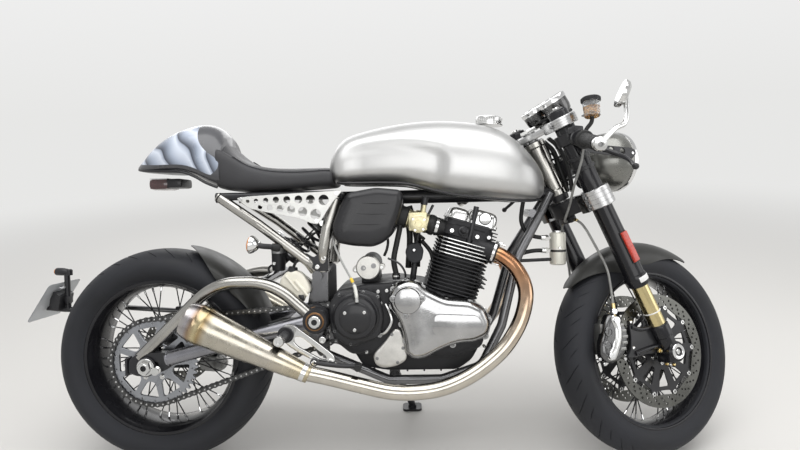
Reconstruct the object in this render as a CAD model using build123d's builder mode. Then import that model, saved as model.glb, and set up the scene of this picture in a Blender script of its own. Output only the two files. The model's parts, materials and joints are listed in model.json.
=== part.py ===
from build123d import *
import os
from math import asin, atan2, cos, degrees, pi, radians, sin, sqrt, tan

# A cafe racer motorcycle, parked on its side stand with the steering turned to the left stop.
# It is drawn upright: X forward from the rear axle, Y to the rider's left, Z up, in millimetres.
# At the end each piece is turned with the fork, leaned over and set on the floor.

# Wheels and steering
WHEELBASE = 1420
REAR_R = 315
FRONT_R = 300
RAKE = 24.5
TRAIL = 99
STEER_LEFT = 25.4
LEAN = 10.27
FORK_HALF = 103
FORK_TUBE_R = 28

# Chain drive, on the right hand side
CHAIN_PITCH = 15.875
CHAIN_LINKS = 106
REAR_TEETH = 48
FRONT_TEETH = 17
CHAIN_Y = -107
FRONT_SPROCKET_Z = 431
ROLLER_R = 5
PLATE_HALF = 7.3
PLATES_INSIDE = 4.85
PLATES_OUTSIDE = 9.6

# Hubs and axles
AXLE_R = 12
AXLE_BORE_R = 7
HUB_BORE_R = 12.8
SPOKE_R = 1.9
STEM_BORE_R = 8
TYRE_FACETS = 72
RIM_R = 222

# Engine
ENGINE_HALF = 120
CYLINDER_BASE = (842, 495)
CYLINDER_LEAN = 17
FINS = 15
FIN_PITCH = 10.2
FIN_THICK = 4

# Side stand: pivot on the left rail, foot on the floor of the parked bike
STAND_PIVOT = Vector(672, 122, 218)
STAND_FLOOR = (724, 248)
STAND_FOLDED = Vector(-0.985, 0.12, 0.12).normalized()

REAR_AXLE = Vector(0, 0, REAR_R)
FRONT_AXLE = Vector(WHEELBASE, 0, FRONT_R)
STEER_DIR = Vector(-sin(radians(RAKE)), 0, cos(radians(RAKE)))
STEER_FORWARD = Vector(cos(radians(RAKE)), 0, sin(radians(RAKE)))
STEER_FOOT = Vector(WHEELBASE + TRAIL, 0, 0)
STEER_AXIS = Axis(STEER_FOOT, STEER_DIR)
AXLE_ALONG = (FRONT_AXLE - STEER_FOOT).dot(STEER_DIR)
FORK_OFFSET = (FRONT_AXLE - STEER_FOOT).dot(STEER_FORWARD)

# The flat facets of a tyre's bead touch the round rim
BEAD_R = RIM_R / cos(pi / TYRE_FACETS)

# Tyre sections from one bead over the tread to the other: distance from the mid plane, radius
REAR_TYRE = [(-64, BEAD_R), (-88, 262), (-72, 296), (-28, 314), (28, 314), (72, 296), (88, 262), (64, BEAD_R)]
FRONT_TYRE = [(-45, BEAD_R), (-60, 252), (-51, 279), (-20, 299), (20, 299), (51, 279), (60, 252), (45, BEAD_R)]


def side_plane(y):
    """Upright plane at Y = y; its sketch axes are X forward and Z up, and it faces the right (-Y)."""
    return Plane(origin=(0, y, 0), x_dir=(1, 0, 0), z_dir=(0, -1, 0))


def cross_plane(x, z):
    """Upright plane across the bike; its sketch axes are Y and Z, and it faces forward."""
    return Plane(origin=(x, 0, z), x_dir=(0, 1, 0), z_dir=(1, 0, 0))


def fork_point(along, offset=0.0, y=0.0):
    """Point at a distance along the steering axis, and forward of it, before the fork is turned."""
    return STEER_FOOT + STEER_DIR * along + STEER_FORWARD * offset + Vector(0, y, 0)


def fork_plane(along, offset=0.0, y=0.0):
    """Plane square to the steering axis; its sketch axes are forward and to the left."""
    return Plane(origin=fork_point(along, offset, y), x_dir=STEER_FORWARD, z_dir=STEER_DIR)


def add_tube(points, radius, bend=0):
    """A round bar along straight runs joined by bends."""
    with BuildLine() as route:
        if bend:
            FilletPolyline(*points, radius=bend)
        else:
            Polyline(*points)
    with BuildSketch(Plane(origin=route.line @ 0, z_dir=route.line % 0)) as section:
        Circle(radius)
    sweep(section.sketch, path=route.line)


def add_cord(points, radius):
    """A hose or cable held at both ends: each bend is as wide as its two runs allow."""
    spots = [Vector(*point) for point in points]
    bends = []
    for before, here, after in zip(spots, spots[1:], spots[2:]):
        turn = radians((here - before).get_angle(after - here))
        shorter = min((here - before).length, (after - here).length)
        bends.append(0.45 * shorter / tan(turn / 2))
    with BuildLine() as route:
        FilletPolyline(*spots, radius=bends)
    with BuildSketch(Plane(origin=route.line @ 0, z_dir=route.line % 0)) as section:
        Circle(radius)
    sweep(section.sketch, path=route.line)
    print("cord radii", [round(bend) for bend in bends], "length", round(sum(e.length for e in route.edges())))


def add_rod(start, end, radius, mode=Mode.ADD):
    """A straight round bar from one point to another."""
    line = Vector(*end) - Vector(*start)
    with BuildSketch(Plane(origin=start, z_dir=line)) as foot:
        Circle(radius)
    extrude(foot.sketch, amount=line.length, mode=mode)


def add_outline(y, depth, points, corner=0, mode=Mode.ADD):
    """A flat shape in side view, from Y = y towards the right by depth."""
    with BuildSketch(side_plane(y)) as shape:
        with BuildLine():
            Polyline(*points, close=True)
        make_face()
        if corner:
            fillet(shape.vertices(), corner)
    extrude(shape.sketch, amount=depth, mode=mode)


def add_ring(axle, section):
    """A ring turned about a wheel's axle, from points (distance from the mid plane, radius)."""
    with BuildSketch(Plane(origin=axle, x_dir=(1, 0, 0), z_dir=(0, 0, 1))) as shape:
        with BuildLine():
            Polyline(*[(radius, y) for y, radius in section], close=True)
        make_face()
    revolve(shape.sketch, axis=Axis(axle, (0, 1, 0)))


def add_tyre(axle, section):
    """A tyre of narrow flat facets, with the hollows beside its beads."""
    def ring(y, radius):
        with BuildSketch(side_plane(y)) as outline:
            with Locations((axle.X, axle.Z)):
                RegularPolygon(radius, TYRE_FACETS)
        return outline.sketch.face()

    loft([ring(y, radius) for y, radius in section[1:-1]], ruled=True)
    extrude(ring(section[-1][0], section[-1][1]), amount=section[-1][0] - section[0][0], mode=Mode.SUBTRACT)
    for bead, shoulder in (section[:2], section[:-3:-1]):
        loft([ring(*bead), ring(*shoulder)], ruled=True, mode=Mode.SUBTRACT)


def add_turned(start, direction, section):
    """A round piece turned about a line, from points (distance along it, radius)."""
    across = Vector(1, 0, 0) if abs(Vector(*direction).normalized().Y) > 0.9 else Vector(0, 1, 0)
    sideways = Vector(*direction).cross(across)
    with BuildSketch(Plane(origin=start, x_dir=direction, z_dir=sideways)) as shape:
        with BuildLine():
            Polyline(*section, close=True)
        make_face()
    revolve(shape.sketch, axis=Axis(start, direction))


def add_loft(sections):
    """A body through rounded sections across the bike: x, bottom z, top z, half width, corner."""
    faces = []
    for x, bottom, top, half, corner in sections:
        with BuildSketch(cross_plane(x, (bottom + top) / 2)) as shape:
            RectangleRounded(2 * half, top - bottom, corner)
        faces.append(shape.sketch.face())
    loft(faces)


def cut_to_point(axle, angle, radius, length, half):
    """Cut a mudguard's end to a point on its middle line; a negative length points the other way."""
    out = Vector(cos(radians(angle)), 0, sin(radians(angle)))
    ahead = 1 if length > 0 else -1
    with BuildSketch(Plane(origin=axle + out * radius, x_dir=Vector(-out.Z, 0, out.X), z_dir=-out)) as waste:
        with BuildLine():
            Polyline((0, 0), (length, half), (-60 * ahead, half), (-60 * ahead, -half), (length, -half), close=True)
        make_face()
    extrude(waste.sketch, amount=110, mode=Mode.SUBTRACT)


# Wheels

def add_spokes(axle, hub_r, hub_half, rim_r, rim_half, count):
    """Crossed wire spokes from both hub flanges to the middle of the rim."""
    step = 360 / count
    for side in (-1, 1):
        for slant in (-1, 1):
            for i in range(count):
                hub_angle = radians(step * (i + 0.25 * side))
                rim_angle = hub_angle + radians(slant * 40)
                hub_y = side * (hub_half + 2.5 * slant)
                hub_end = axle + Vector(hub_r * cos(hub_angle), hub_y, hub_r * sin(hub_angle))
                rim_end = axle + Vector(rim_r * cos(rim_angle), side * rim_half, rim_r * sin(rim_angle))
                with BuildSketch(Plane(origin=hub_end, z_dir=rim_end - hub_end)) as wire:
                    RegularPolygon(SPOKE_R, 6)
                extrude(wire.sketch, amount=(rim_end - hub_end).length)


with BuildPart() as rear_tyre:
    add_tyre(REAR_AXLE, REAR_TYRE)

with BuildPart() as rear_wire_wheel:
    add_ring(REAR_AXLE, [(-66, RIM_R), (-66, 212), (0, 204), (66, 212), (66, RIM_R)])
    add_ring(REAR_AXLE, [(-56, 0), (-56, 40), (-46, 40), (-44, 27), (44, 27), (46, 40), (56, 40), (56, 0)])
    add_spokes(REAR_AXLE, 34, 50, 207, 10, 10)
    add_rod((0, 60, REAR_R), (0, -60, REAR_R), HUB_BORE_R, mode=Mode.SUBTRACT)

with BuildPart() as front_tyre:
    add_tyre(FRONT_AXLE, FRONT_TYRE)

with BuildPart() as front_wire_wheel:
    add_ring(FRONT_AXLE, [(-47, RIM_R), (-47, 213), (0, 205), (47, 213), (47, RIM_R)])
    add_ring(FRONT_AXLE, [(-61, 0), (-61, 38), (-38, 38), (-34, 24), (34, 24), (38, 38), (61, 38), (61, 0)])
    add_spokes(FRONT_AXLE, 32, 42, 208, 8, 10)
    front_bore = (WHEELBASE, 70, FRONT_R), (WHEELBASE, -70, FRONT_R)
    add_rod(*front_bore, HUB_BORE_R, mode=Mode.SUBTRACT)

with BuildPart() as front_discs:
    for disc_y in (-61, 66):
        with BuildSketch(side_plane(disc_y)):
            with Locations((WHEELBASE, FRONT_R)):
                Circle(160)
                Circle(126, mode=Mode.SUBTRACT)
                Circle(44)
                with PolarLocations(86, 10):
                    Rectangle(92, 11)
                Circle(HUB_BORE_R, mode=Mode.SUBTRACT)
        extrude(amount=5)

with BuildPart() as rear_disc:
    with BuildSketch(side_plane(61)):
        with Locations((0, REAR_R)):
            Circle(110)
            Circle(78, mode=Mode.SUBTRACT)
            Circle(42)
            with PolarLocations(60, 6):
                Rectangle(46, 12)
            Circle(HUB_BORE_R, mode=Mode.SUBTRACT)
    extrude(amount=5)

# Chain drive: the chain lies round both sprockets, and its rollers sit between their teeth

REAR_PITCH_R = CHAIN_PITCH / (2 * sin(pi / REAR_TEETH))
FRONT_PITCH_R = CHAIN_PITCH / (2 * sin(pi / FRONT_TEETH))


def chain_links(centre_distance):
    """Number of links round both sprockets, and the tilt of the runs against their centre line."""
    tilt = asin((REAR_PITCH_R - FRONT_PITCH_R) / centre_distance)
    run = sqrt(centre_distance**2 - (REAR_PITCH_R - FRONT_PITCH_R) ** 2)
    wraps = (0.5 + tilt / pi) * REAR_TEETH + (0.5 - tilt / pi) * FRONT_TEETH
    return wraps + 2 * run / CHAIN_PITCH, tilt, run


# The front sprocket stands where the chain has its whole number of links
SPROCKET_DISTANCE = 570.0
for _ in range(20):
    SPROCKET_DISTANCE += (CHAIN_LINKS - chain_links(SPROCKET_DISTANCE)[0]) * CHAIN_PITCH / 2
LINKS, CHAIN_TILT, CHAIN_RUN = chain_links(SPROCKET_DISTANCE)
CENTRE_RISE = asin((FRONT_SPROCKET_Z - REAR_R) / SPROCKET_DISTANCE)
FRONT_SPROCKET_X = SPROCKET_DISTANCE * cos(CENTRE_RISE)


def chain_point(link, offset=0.0):
    """Centre of one roller, moved outward from the loop by offset, as (x, z)."""
    rear_wrap = (0.5 + CHAIN_TILT / pi) * REAR_TEETH
    run_links = CHAIN_RUN / CHAIN_PITCH
    front_wrap = CHAIN_LINKS - rear_wrap - 2 * run_links
    lower_angle = CENTRE_RISE - pi / 2 + CHAIN_TILT
    upper_angle = CENTRE_RISE + pi / 2 - CHAIN_TILT
    rear = Vector(0, REAR_R)
    front = Vector(FRONT_SPROCKET_X, FRONT_SPROCKET_Z)

    def outward(angle):
        return Vector(cos(angle), sin(angle))

    if link < rear_wrap:
        angle = upper_angle + link * 2 * pi / REAR_TEETH
        spot = rear + outward(angle) * (REAR_PITCH_R + offset)
    elif link < rear_wrap + run_links:
        share = (link - rear_wrap) / run_links
        start = rear + outward(lower_angle) * (REAR_PITCH_R + offset)
        end = front + outward(lower_angle) * (FRONT_PITCH_R + offset)
        spot = start + (end - start) * share
    elif link < rear_wrap + run_links + front_wrap:
        angle = lower_angle + (link - rear_wrap - run_links) * 2 * pi / FRONT_TEETH
        spot = front + outward(angle) * (FRONT_PITCH_R + offset)
    else:
        share = (link - rear_wrap - run_links - front_wrap) / run_links
        start = front + outward(upper_angle) * (FRONT_PITCH_R + offset)
        end = rear + outward(upper_angle) * (REAR_PITCH_R + offset)
        spot = start + (end - start) * share
    return (spot.X, spot.Y)


# Links whose rollers touch a sprocket, and the ones at the ends of the runs
BENT_LINKS = [i for i in range(CHAIN_LINKS) if i < 28 or 60 < i < 74]

with BuildPart() as chain:
    for inner in (CHAIN_Y + PLATES_OUTSIDE, CHAIN_Y - PLATES_INSIDE):
        add_outline(inner, PLATES_OUTSIDE - PLATES_INSIDE, [chain_point(i, PLATE_HALF) for i in BENT_LINKS])
        add_outline(inner, PLATES_OUTSIDE - PLATES_INSIDE, [chain_point(i, -PLATE_HALF) for i in BENT_LINKS],
                    mode=Mode.SUBTRACT)
    with BuildSketch(side_plane(CHAIN_Y + PLATES_INSIDE)):
        for i in range(CHAIN_LINKS):
            with Locations(chain_point(i)):
                RegularPolygon(ROLLER_R, 4)
    extrude(amount=2 * PLATES_INSIDE)

with BuildPart() as rear_sprocket:
    first_tooth = CENTRE_RISE + pi / 2 - CHAIN_TILT
    # One tooth: angle from the gap's middle, radius past the pitch circle
    tooth = [(-2.95, 4.3), (-1.9, -5.4), (1.9, -5.4), (2.95, 4.3)]
    rim_points = []
    for i in range(REAR_TEETH):
        gap = first_tooth + i * 2 * pi / REAR_TEETH
        for turn, height in tooth:
            angle = gap + radians(turn)
            radius = REAR_PITCH_R + height
            rim_points.append((radius * cos(angle), REAR_R + radius * sin(angle)))
    with BuildSketch(side_plane(CHAIN_Y + 4)):
        with BuildLine():
            Polyline(*rim_points, close=True)
        make_face()
        with Locations((0, REAR_R)):
            Circle(104, mode=Mode.SUBTRACT)
            Circle(52)
            with PolarLocations(78, 9):
                Rectangle(60, 12)
            Circle(HUB_BORE_R, mode=Mode.SUBTRACT)
    extrude(amount=8)
    with BuildSketch(side_plane(-56)):
        with Locations((0, REAR_R)):
            Circle(45)
            Circle(HUB_BORE_R, mode=Mode.SUBTRACT)
    extrude(amount=-CHAIN_Y - 56 - 4)

# Frame

with BuildPart() as head_tube:
    add_turned(fork_point(842), STEER_DIR, [(0, 17), (0, 29), (14, 29), (18, 25), (149, 25), (153, 29),
                                            (167, 29), (167, 17)])

with BuildPart() as frame_spine:
    add_rod((1156, 0, 768), (520, 0, 768), 20)
    add_rod((530, -86, 774), (530, 86, 774), 13)
    add_rod(fork_point(830), fork_point(1020), 24, mode=Mode.SUBTRACT)
    add(head_tube.part, mode=Mode.SUBTRACT)

with BuildPart() as frame_cradles:
    for side in (-1, 1):
        add_tube([(1142, side * 22, 768), (1036, side * 62, 590), (985, side * 84, 400), (925, side * 100, 290),
                  (813, side * 100, 253), (664, side * 100, 253), (482, side * 88, 328)], 13, 50)
        add_outline(92 if side > 0 else -82, 10,
                    [(458, 566), (496, 566), (497, 330), (470, 318), (440, 360), (436, 460)], 10)
    add_rod((470, 112, 552), (470, -112, 552), 14)
    add_rod((1085, 40, 712), (1085, -40, 712), 12)
    add_rod((470, -120, 434), (470, 120, 434), 20.3, mode=Mode.SUBTRACT)
    add(frame_spine.part, mode=Mode.SUBTRACT)
    add(head_tube.part, mode=Mode.SUBTRACT)

with BuildPart() as rear_frame:
    for side in (-1, 1):
        y = side * 116
        add_tube([(196, side * 102, 778), (310, y, 700), (448, y, 592), (460, side * 98, 567)], 14, 24)
        add_tube([(530, side * 102, 770), (502, y, 700), (490, y, 600), (486, side * 98, 567)], 13, 24)
        add_rod((190, side * 102, 778), (540, side * 102, 778), 11)
    for x in (212, 430):
        add_rod((x, 102, 778), (x, -102, 778), 9)
    add(frame_cradles.part, mode=Mode.SUBTRACT)
    add(frame_spine.part, mode=Mode.SUBTRACT)

with BuildPart() as swingarm:
    for side in (-1, 1):
        y = side * 138
        add_tube([(-24, y, 336), (188, y, 540), (350, y, 540), (464, y, 436)], 16, 100)
        add_tube([(30, y, 326), (464, y, 434)], 20)
        add_outline(y + 19, 38, [(-48, 292), (-48, 338), (60, 350), (60, 300)], 8)
    add_rod((470, 158, 434), (470, -158, 434), 20)
    add_rod((385, 136, 402), (385, -136, 402), 22)
    add_rod((322, 136, 540), (322, -136, 540), 14)
    for side in (-1, 1):
        add_rod((470, side * 118, 434), (470, side * 166, 434), 30)
    add_rod((0, 170, REAR_R), (0, -170, REAR_R), AXLE_R + 0.2, mode=Mode.SUBTRACT)

with BuildPart() as rear_axle:
    add_rod((0, 174, REAR_R), (0, -174, REAR_R), AXLE_R)
    for side in (-1, 1):
        with BuildSketch(side_plane(side * 158 if side < 0 else 174)):
            with Locations((0, REAR_R)):
                RegularPolygon(20, 6)
        extrude(amount=16)
    add_rod((0, 190, REAR_R), (0, -190, REAR_R), AXLE_BORE_R, mode=Mode.SUBTRACT)

# Engine

CASE = [(505, 465), (522, 510), (600, 525), (690, 530), (768, 517.6), (905, 475.7), (945, 420), (925, 345),
        (850, 318), (560, 330), (510, 372)]

with BuildPart() as crankcase:
    add_outline(ENGINE_HALF, 2 * ENGINE_HALF, CASE, 12)
    add_outline(80, 160, [(560, 335), (590, 285), (660, 272), (860, 272), (900, 300), (925, 345)], 8)
    add_rod((613, -60, 572), (613, -112, 572), 33)
    add_rod((613, 60, 572), (613, -60, 572), 30)
    add_outline(60, 120, [(590, 515), (640, 515), (640, 560), (590, 560)])
    chain_gap = [(490, 335), (545, 352), (FRONT_SPROCKET_X + 62, 372), (FRONT_SPROCKET_X + 62, 498), (490, 498)]
    add_outline(CHAIN_Y + 13, 50, chain_gap, mode=Mode.SUBTRACT)
    add_rod((FRONT_SPROCKET_X, -90, FRONT_SPROCKET_Z), (FRONT_SPROCKET_X, -120, FRONT_SPROCKET_Z), 34)
    add_rod((FRONT_SPROCKET_X, -103, FRONT_SPROCKET_Z), (FRONT_SPROCKET_X, -111, FRONT_SPROCKET_Z),
            FRONT_PITCH_R - ROLLER_R - 0.5)

CYLINDER_UP = Vector(sin(radians(CYLINDER_LEAN)), 0, cos(radians(CYLINDER_LEAN)))


def cylinder_plane(height):
    """Plane square to the cylinders, at a height above the crankcase; sketch X runs forward."""
    origin = Vector(CYLINDER_BASE[0], 0, CYLINDER_BASE[1]) + CYLINDER_UP * height
    return Plane(origin=origin, x_dir=CYLINDER_UP.cross(Vector(0, -1, 0)), z_dir=CYLINDER_UP)


def add_slab(height, thick, length, width, corner, shift=0):
    """A rounded slab round the cylinders."""
    with BuildSketch(cylinder_plane(height)) as slab:
        with Locations((shift, 0)):
            RectangleRounded(length, width, corner)
    extrude(slab.sketch, amount=thick)


# The barrel carries the lower fins and the head the upper ones, up to the level of the ports
BLOCK_HEIGHT = 7 * FIN_PITCH

with BuildPart() as cylinder_block:
    add_slab(0, BLOCK_HEIGHT, 128, 208, 30)
    for i in range(7):
        add_slab(3 + i * FIN_PITCH, FIN_THICK, 160, 240, 34)

with BuildPart() as cylinder_head:
    add_slab(BLOCK_HEIGHT, 190 - BLOCK_HEIGHT, 132, 212, 30)
    for i in range(7, FINS):
        add_slab(3 + i * FIN_PITCH, FIN_THICK, 164, 246, 36)
    for side in (-1, 1):
        add_rod((905, side * 84, 628), (978, side * 104, 602), 26)

with BuildPart() as rocker_covers:
    for side in (-1, 1):
        with BuildSketch(cylinder_plane(190)):
            with Locations((0, side * 62)):
                RectangleRounded(150, 96, 22)
        with BuildSketch(cylinder_plane(244)):
            with Locations((-6, side * 60)):
                RectangleRounded(104, 76, 20)
        loft()

TIMING = [(668, 493), (722, 543), (769, 522), (823, 492), (889, 484), (948, 420), (902, 370), (827, 360),
          (768, 329), (736, 326), (713, 342), (707, 394), (692, 441)]

with BuildPart() as timing_cover:
    add_outline(-ENGINE_HALF, 50, TIMING, 11)
    fillet(timing_cover.faces().sort_by(Axis.Y)[0].edges(), 9)
    add_turned((721, -165, 488), (0, -1, 0), [(0, 0), (0, 38), (8, 38), (14, 32), (17, 0)])
    add_rod((905, -165, 424), (905, -176, 424), 30)

with BuildPart() as clutch_cover:
    add_outline(-ENGINE_HALF, 14, [(503, 470), (524, 508), (600, 516), (645, 500), (655, 430), (640, 380),
                                   (560, 352), (508, 392)], 14)
    add_turned((575, -130, 440), (0, -1, 0), [(0, 0), (0, 60), (22, 57), (28, 50), (28, 40), (34, 38), (34, 0)])
    add_rod((585, -160, 466), (585, -160, 494), 8)

with BuildPart() as primary_cover:
    add_outline(ENGINE_HALF + 40, 40, [(560, 350), (540, 430), (570, 505), (660, 520), (760, 500), (880, 486),
                                       (930, 430), (905, 365), (840, 335), (700, 330)], 34)
    fillet(primary_cover.faces().sort_by(Axis.Y)[-1].edges(), 9)
    add_turned((650, 150, 425), (0, 1, 0), [(0, 0), (0, 64), (14, 62), (22, 52), (22, 0)])
    add_turned((846, 150, 418), (0, 1, 0), [(0, 0), (0, 52), (13, 50), (19, 42), (19, 0)])

with BuildPart() as throttle_bodies:
    for side in (-1, 1):
        add_rod((798, side * 62, 684), (706, side * 62, 712), 24)
        add_rod((768, side * 62, 693), (744, side * 62, 700), 32)
    add_rod((756, 62, 697), (756, -62, 697), 8)

# Side covers, each with three grooves along its outer face
AIRBOX = [(558, 774), (519, 690), (528, 646), (639, 632), (684, 659), (706, 740), (700, 774)]

with BuildPart() as airbox:
    for outside in (138, -58):
        add_outline(outside, 80, AIRBOX, 18)
    for face in (airbox.faces().sort_by(Axis.Y)[0], airbox.faces().sort_by(Axis.Y)[-1]):
        fillet(face.edges(), 7)
    for groove in range(3):
        z = 690 + 16 * groove
        for outside in (139, -136):
            add_outline(outside, 3, [(556, z), (556, z + 3), (668, z + 9), (668, z + 6)], mode=Mode.SUBTRACT)

# Exhaust

# Header pipe: the points of its straight runs, and the radius of the bend at each inner point
HEADER = [(978.4, 104.1, 601.9), (1040, 121, 580), (1043, 160, 455), (985, 180, 340), (860, 190, 256),
          (670, 192, 242), (447, 208, 309)]
HEADER_BENDS = [95, 150, 230, 200, 300]

with BuildPart() as silencers:
    for side in (-1, 1):
        start = Vector(447, side * 208, 309)
        line = Vector(142, side * 214, 458) - start
        add_turned(start, line, [(0, 0), (0, 24), (290, 50), (326, 54), (339, 50), (339, 36), (300, 33), (300, 0)])

with BuildPart() as header_pipes:
    for side in (-1, 1):
        add_tube([(x, side * y, z) for x, y, z in HEADER], 20, HEADER_BENDS)
        add_rod((978.4, side * 104.1, 601.9), (996.6, side * 109.1, 595.4), 27)
    add(silencers.part, mode=Mode.SUBTRACT)

# Tank, seat and tail

# Radius of the round hollow for each knee
KNEE_R = 520

with BuildPart() as fuel_tank:
    add_loft([
        (518, 812, 872, 74, 24),
        (560, 806, 942, 112, 46),
        (640, 804, 970, 128, 62),
        (760, 796, 986, 137, 76),
        (900, 756, 984, 142, 84),
        (1000, 748, 950, 126, 78),
        (1070, 745, 896, 76, 54),
        (1106, 752, 832, 42, 26),
    ])
    with BuildSketch(cross_plane(700, 740)):
        Rectangle(50, 104)
    extrude(amount=440, mode=Mode.SUBTRACT)
    for side in (-1, 1):
        add_rod((690, side * (132 + KNEE_R), 780), (690, side * (124 + KNEE_R), 880), KNEE_R, mode=Mode.SUBTRACT)

with BuildPart() as tank_cap:
    add_rod((968, 0, 972), (971, 0, 990), 35)
    add_rod((971, 0, 990), (972, 0, 996), 26)

with BuildPart() as seat:
    add_loft([
        (188, 806, 966, 116, 60),
        (235, 792, 908, 120, 44),
        (300, 790, 872, 121, 34),
        (420, 794, 860, 116, 30),
        (516, 803, 852, 106, 20),
    ])

with BuildPart() as tail_cowl:
    add_loft([
        (-70, 862, 874, 22, 5),
        (-10, 856, 932, 68, 34),
        (50, 855, 972, 92, 52),
        (116, 842, 990, 108, 60),
        (188, 806, 966, 116, 60),
    ])

# Drilled side plates: hole centres and radii, in two rows that grow towards the front
PLATE = [(257, 773), (294, 777), (551, 788), (519, 752), (484, 698), (467, 698), (428, 715), (351, 730), (293, 744)]
PLATE_HOLES = [(289, 763, 5), (312, 764, 6), (339, 765, 7), (367, 766, 8.5), (397, 766, 9.5), (429, 766, 10.5),
               (462, 765, 12), (498, 763, 14), (323, 747, 6), (350, 745, 7.5), (378, 742, 9), (408, 738, 10.5),
               (440, 732, 12), (475, 724, 14)]

with BuildPart() as side_plates:
    for side in (-1, 1):
        with BuildSketch(side_plane(side * 134 if side < 0 else 137)):
            with BuildLine():
                Polyline(*PLATE, close=True)
            make_face()
            for x, z, radius in PLATE_HOLES:
                with Locations((x, z)):
                    Circle(radius, mode=Mode.SUBTRACT)
        extrude(amount=3)

with BuildPart() as rear_lamps:
    with BuildSketch(cross_plane(-30, 822)):
        RectangleRounded(90, 26, 10)
    extrude(amount=86)
    for side in (-1, 1):
        add_rod((314, side * 150, 642), (296, side * 150, 646), 25)
        add_rod((306, side * 150, 642), (346, side * 136, 640), 7)
        add_rod((346, side * 136, 640), (372, side * 124, 632), 7)
    add(rear_frame.part, mode=Mode.SUBTRACT)

with BuildPart() as plate_carrier:
    add_tube([(-14, 106, 420), (-260, 106, 440), (-350, 60, 438), (-415, 60, 445)], 8, 60)
    add_rod((-16, 106, 420), (-12, 126, 352), 8)
    add(swingarm.part, mode=Mode.SUBTRACT)
    add_outline(64, 8, [(-415, 445), (-395, 425), (-500, 392), (-512, 400)])
    add_rod((-372, 60, 440), (-372, 60, 560), 6)
    add_rod((-372, 60, 560), (-414, 60, 562), 12)

with BuildPart() as shock:
    shock_low = Vector(322, 0, 562)
    shock_line = Vector(478, 0, 700) - shock_low
    add_rod(shock_low, shock_low + shock_line, 12)
    coil = [(60, 12)]
    for i in range(6):
        coil += [(64 + 20 * i, 33), (74 + 20 * i, 33), (79 + 20 * i, 22)]
    coil += [(184, 12)]
    add_turned(shock_low, shock_line, coil)
    add_rod((346, -40, 564), (346, -40, 640), 20)
    add_rod((346, 0, 590), (346, -40, 600), 8)

with BuildPart() as rear_hugger:
    with BuildSketch(Plane(origin=REAR_AXLE, x_dir=(cos(radians(22)), 0, sin(radians(22))),
                           z_dir=(-sin(radians(22)), 0, cos(radians(22))))):
        with BuildLine():
            Polyline((296, -96), (318, -96), (332, -70), (332, 70), (318, 96), (296, 96), (296, 93), (316, 93),
                     (328, 69), (328, -69), (316, -93), (296, -93), close=True)
        make_face()
    revolve(axis=Axis(REAR_AXLE, (0, -1, 0)), revolution_arc=54)
    cut_to_point(REAR_AXLE, 74, 350, -90, 110)

with BuildPart() as catch_bottle:
    add_outline(-94, 26, [(387, 566), (364, 514), (396, 474), (430, 478), (452, 510), (430, 560)], 10)

with BuildPart() as rearsets:
    for side in (-1, 1):
        with BuildSketch(side_plane(side * 172 if side < 0 else 180)):
            with BuildLine():
                Polyline((384, 420), (410, 424), (524, 336), (516, 318), (500, 318), (380, 398), close=True)
            make_face()
            with BuildLine():
                Polyline((412, 404), (420, 404), (492, 348), (494, 336), (486, 334), (410, 388), close=True)
            make_face(mode=Mode.SUBTRACT)
        extrude(amount=8)
        add_outline(180 if side > 0 else -172, 8, [(484, 380), (484, 396), (500, 396), (512, 330), (496, 330)])
        add_rod((394, side * 176, 404), (394, side * 262, 404), 12)
        add_rod((492, side * 176, 388), (488, side * 92, 388), 7)
        # Foot lever with its toe piece
        add_rod((470, side * 172, 330), (470, side * 192, 330), 10)
        add_rod((470, side * 188, 330), (588, side * 192, 320), 6)
        add_rod((588, side * 184, 320), (588, side * 216, 320), 9)
    add(frame_cradles.part, mode=Mode.SUBTRACT)

with BuildPart() as oil_canister:
    add_rod((1158, -30, 562), (1158, -30, 656), 21)
    add_rod((1158, -30, 578), (1036, -62, 578), 5)
    for z in (603, 640):
        add_rod((1158, -30, z), (1126, -30, z), 8)
    add(frame_cradles.part, mode=Mode.SUBTRACT)

with BuildPart() as engine_hoses:
    add_cord([(1126, -30, 640), (1098, -26, 641), (1070, -20, 654), (1055, -18, 684), (1056, -23, 718),
              (1062, -32, 756)], 6)
    add_cord([(1126, -30, 603), (1098, -31, 605), (1064, -34, 600), (1030, -38, 588), (990, -40, 578),
              (930, -41, 576)], 6)
    for neighbour in (fuel_tank, cylinder_head, cylinder_block, oil_canister, frame_cradles):
        add(neighbour.part, mode=Mode.SUBTRACT)

with BuildPart() as clutch_cable:
    add_cord([(522, -80, 768), (511, -88, 737), (509, -95, 700), (514, -108, 663), (525, -123, 628),
              (545, -135, 588), (568, -148, 550), (583, -156, 520), (585, -160, 488)], 3)
    add(frame_spine.part, mode=Mode.SUBTRACT)
    add(clutch_cover.part, mode=Mode.SUBTRACT)

with BuildPart() as rear_caliper:
    add_outline(84, 38, [(66, 236), (60, 272), (84, 294), (128, 288), (148, 262), (124, 230)], 8)
    add_rod((0, 51, REAR_R), (0, 66, REAR_R), 115, mode=Mode.SUBTRACT)
    add_rod((120, 80, 280), (128, 122, 322), 8)
    add(swingarm.part, mode=Mode.SUBTRACT)

# Fork and controls, drawn straight ahead

# Heights of the yokes along the steering axis, and the radius of their clamps round the fork tubes
TOP_YOKE = (1012, 1040)
LOW_YOKE = (770, 822)
CLAMP_R = 41


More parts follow.
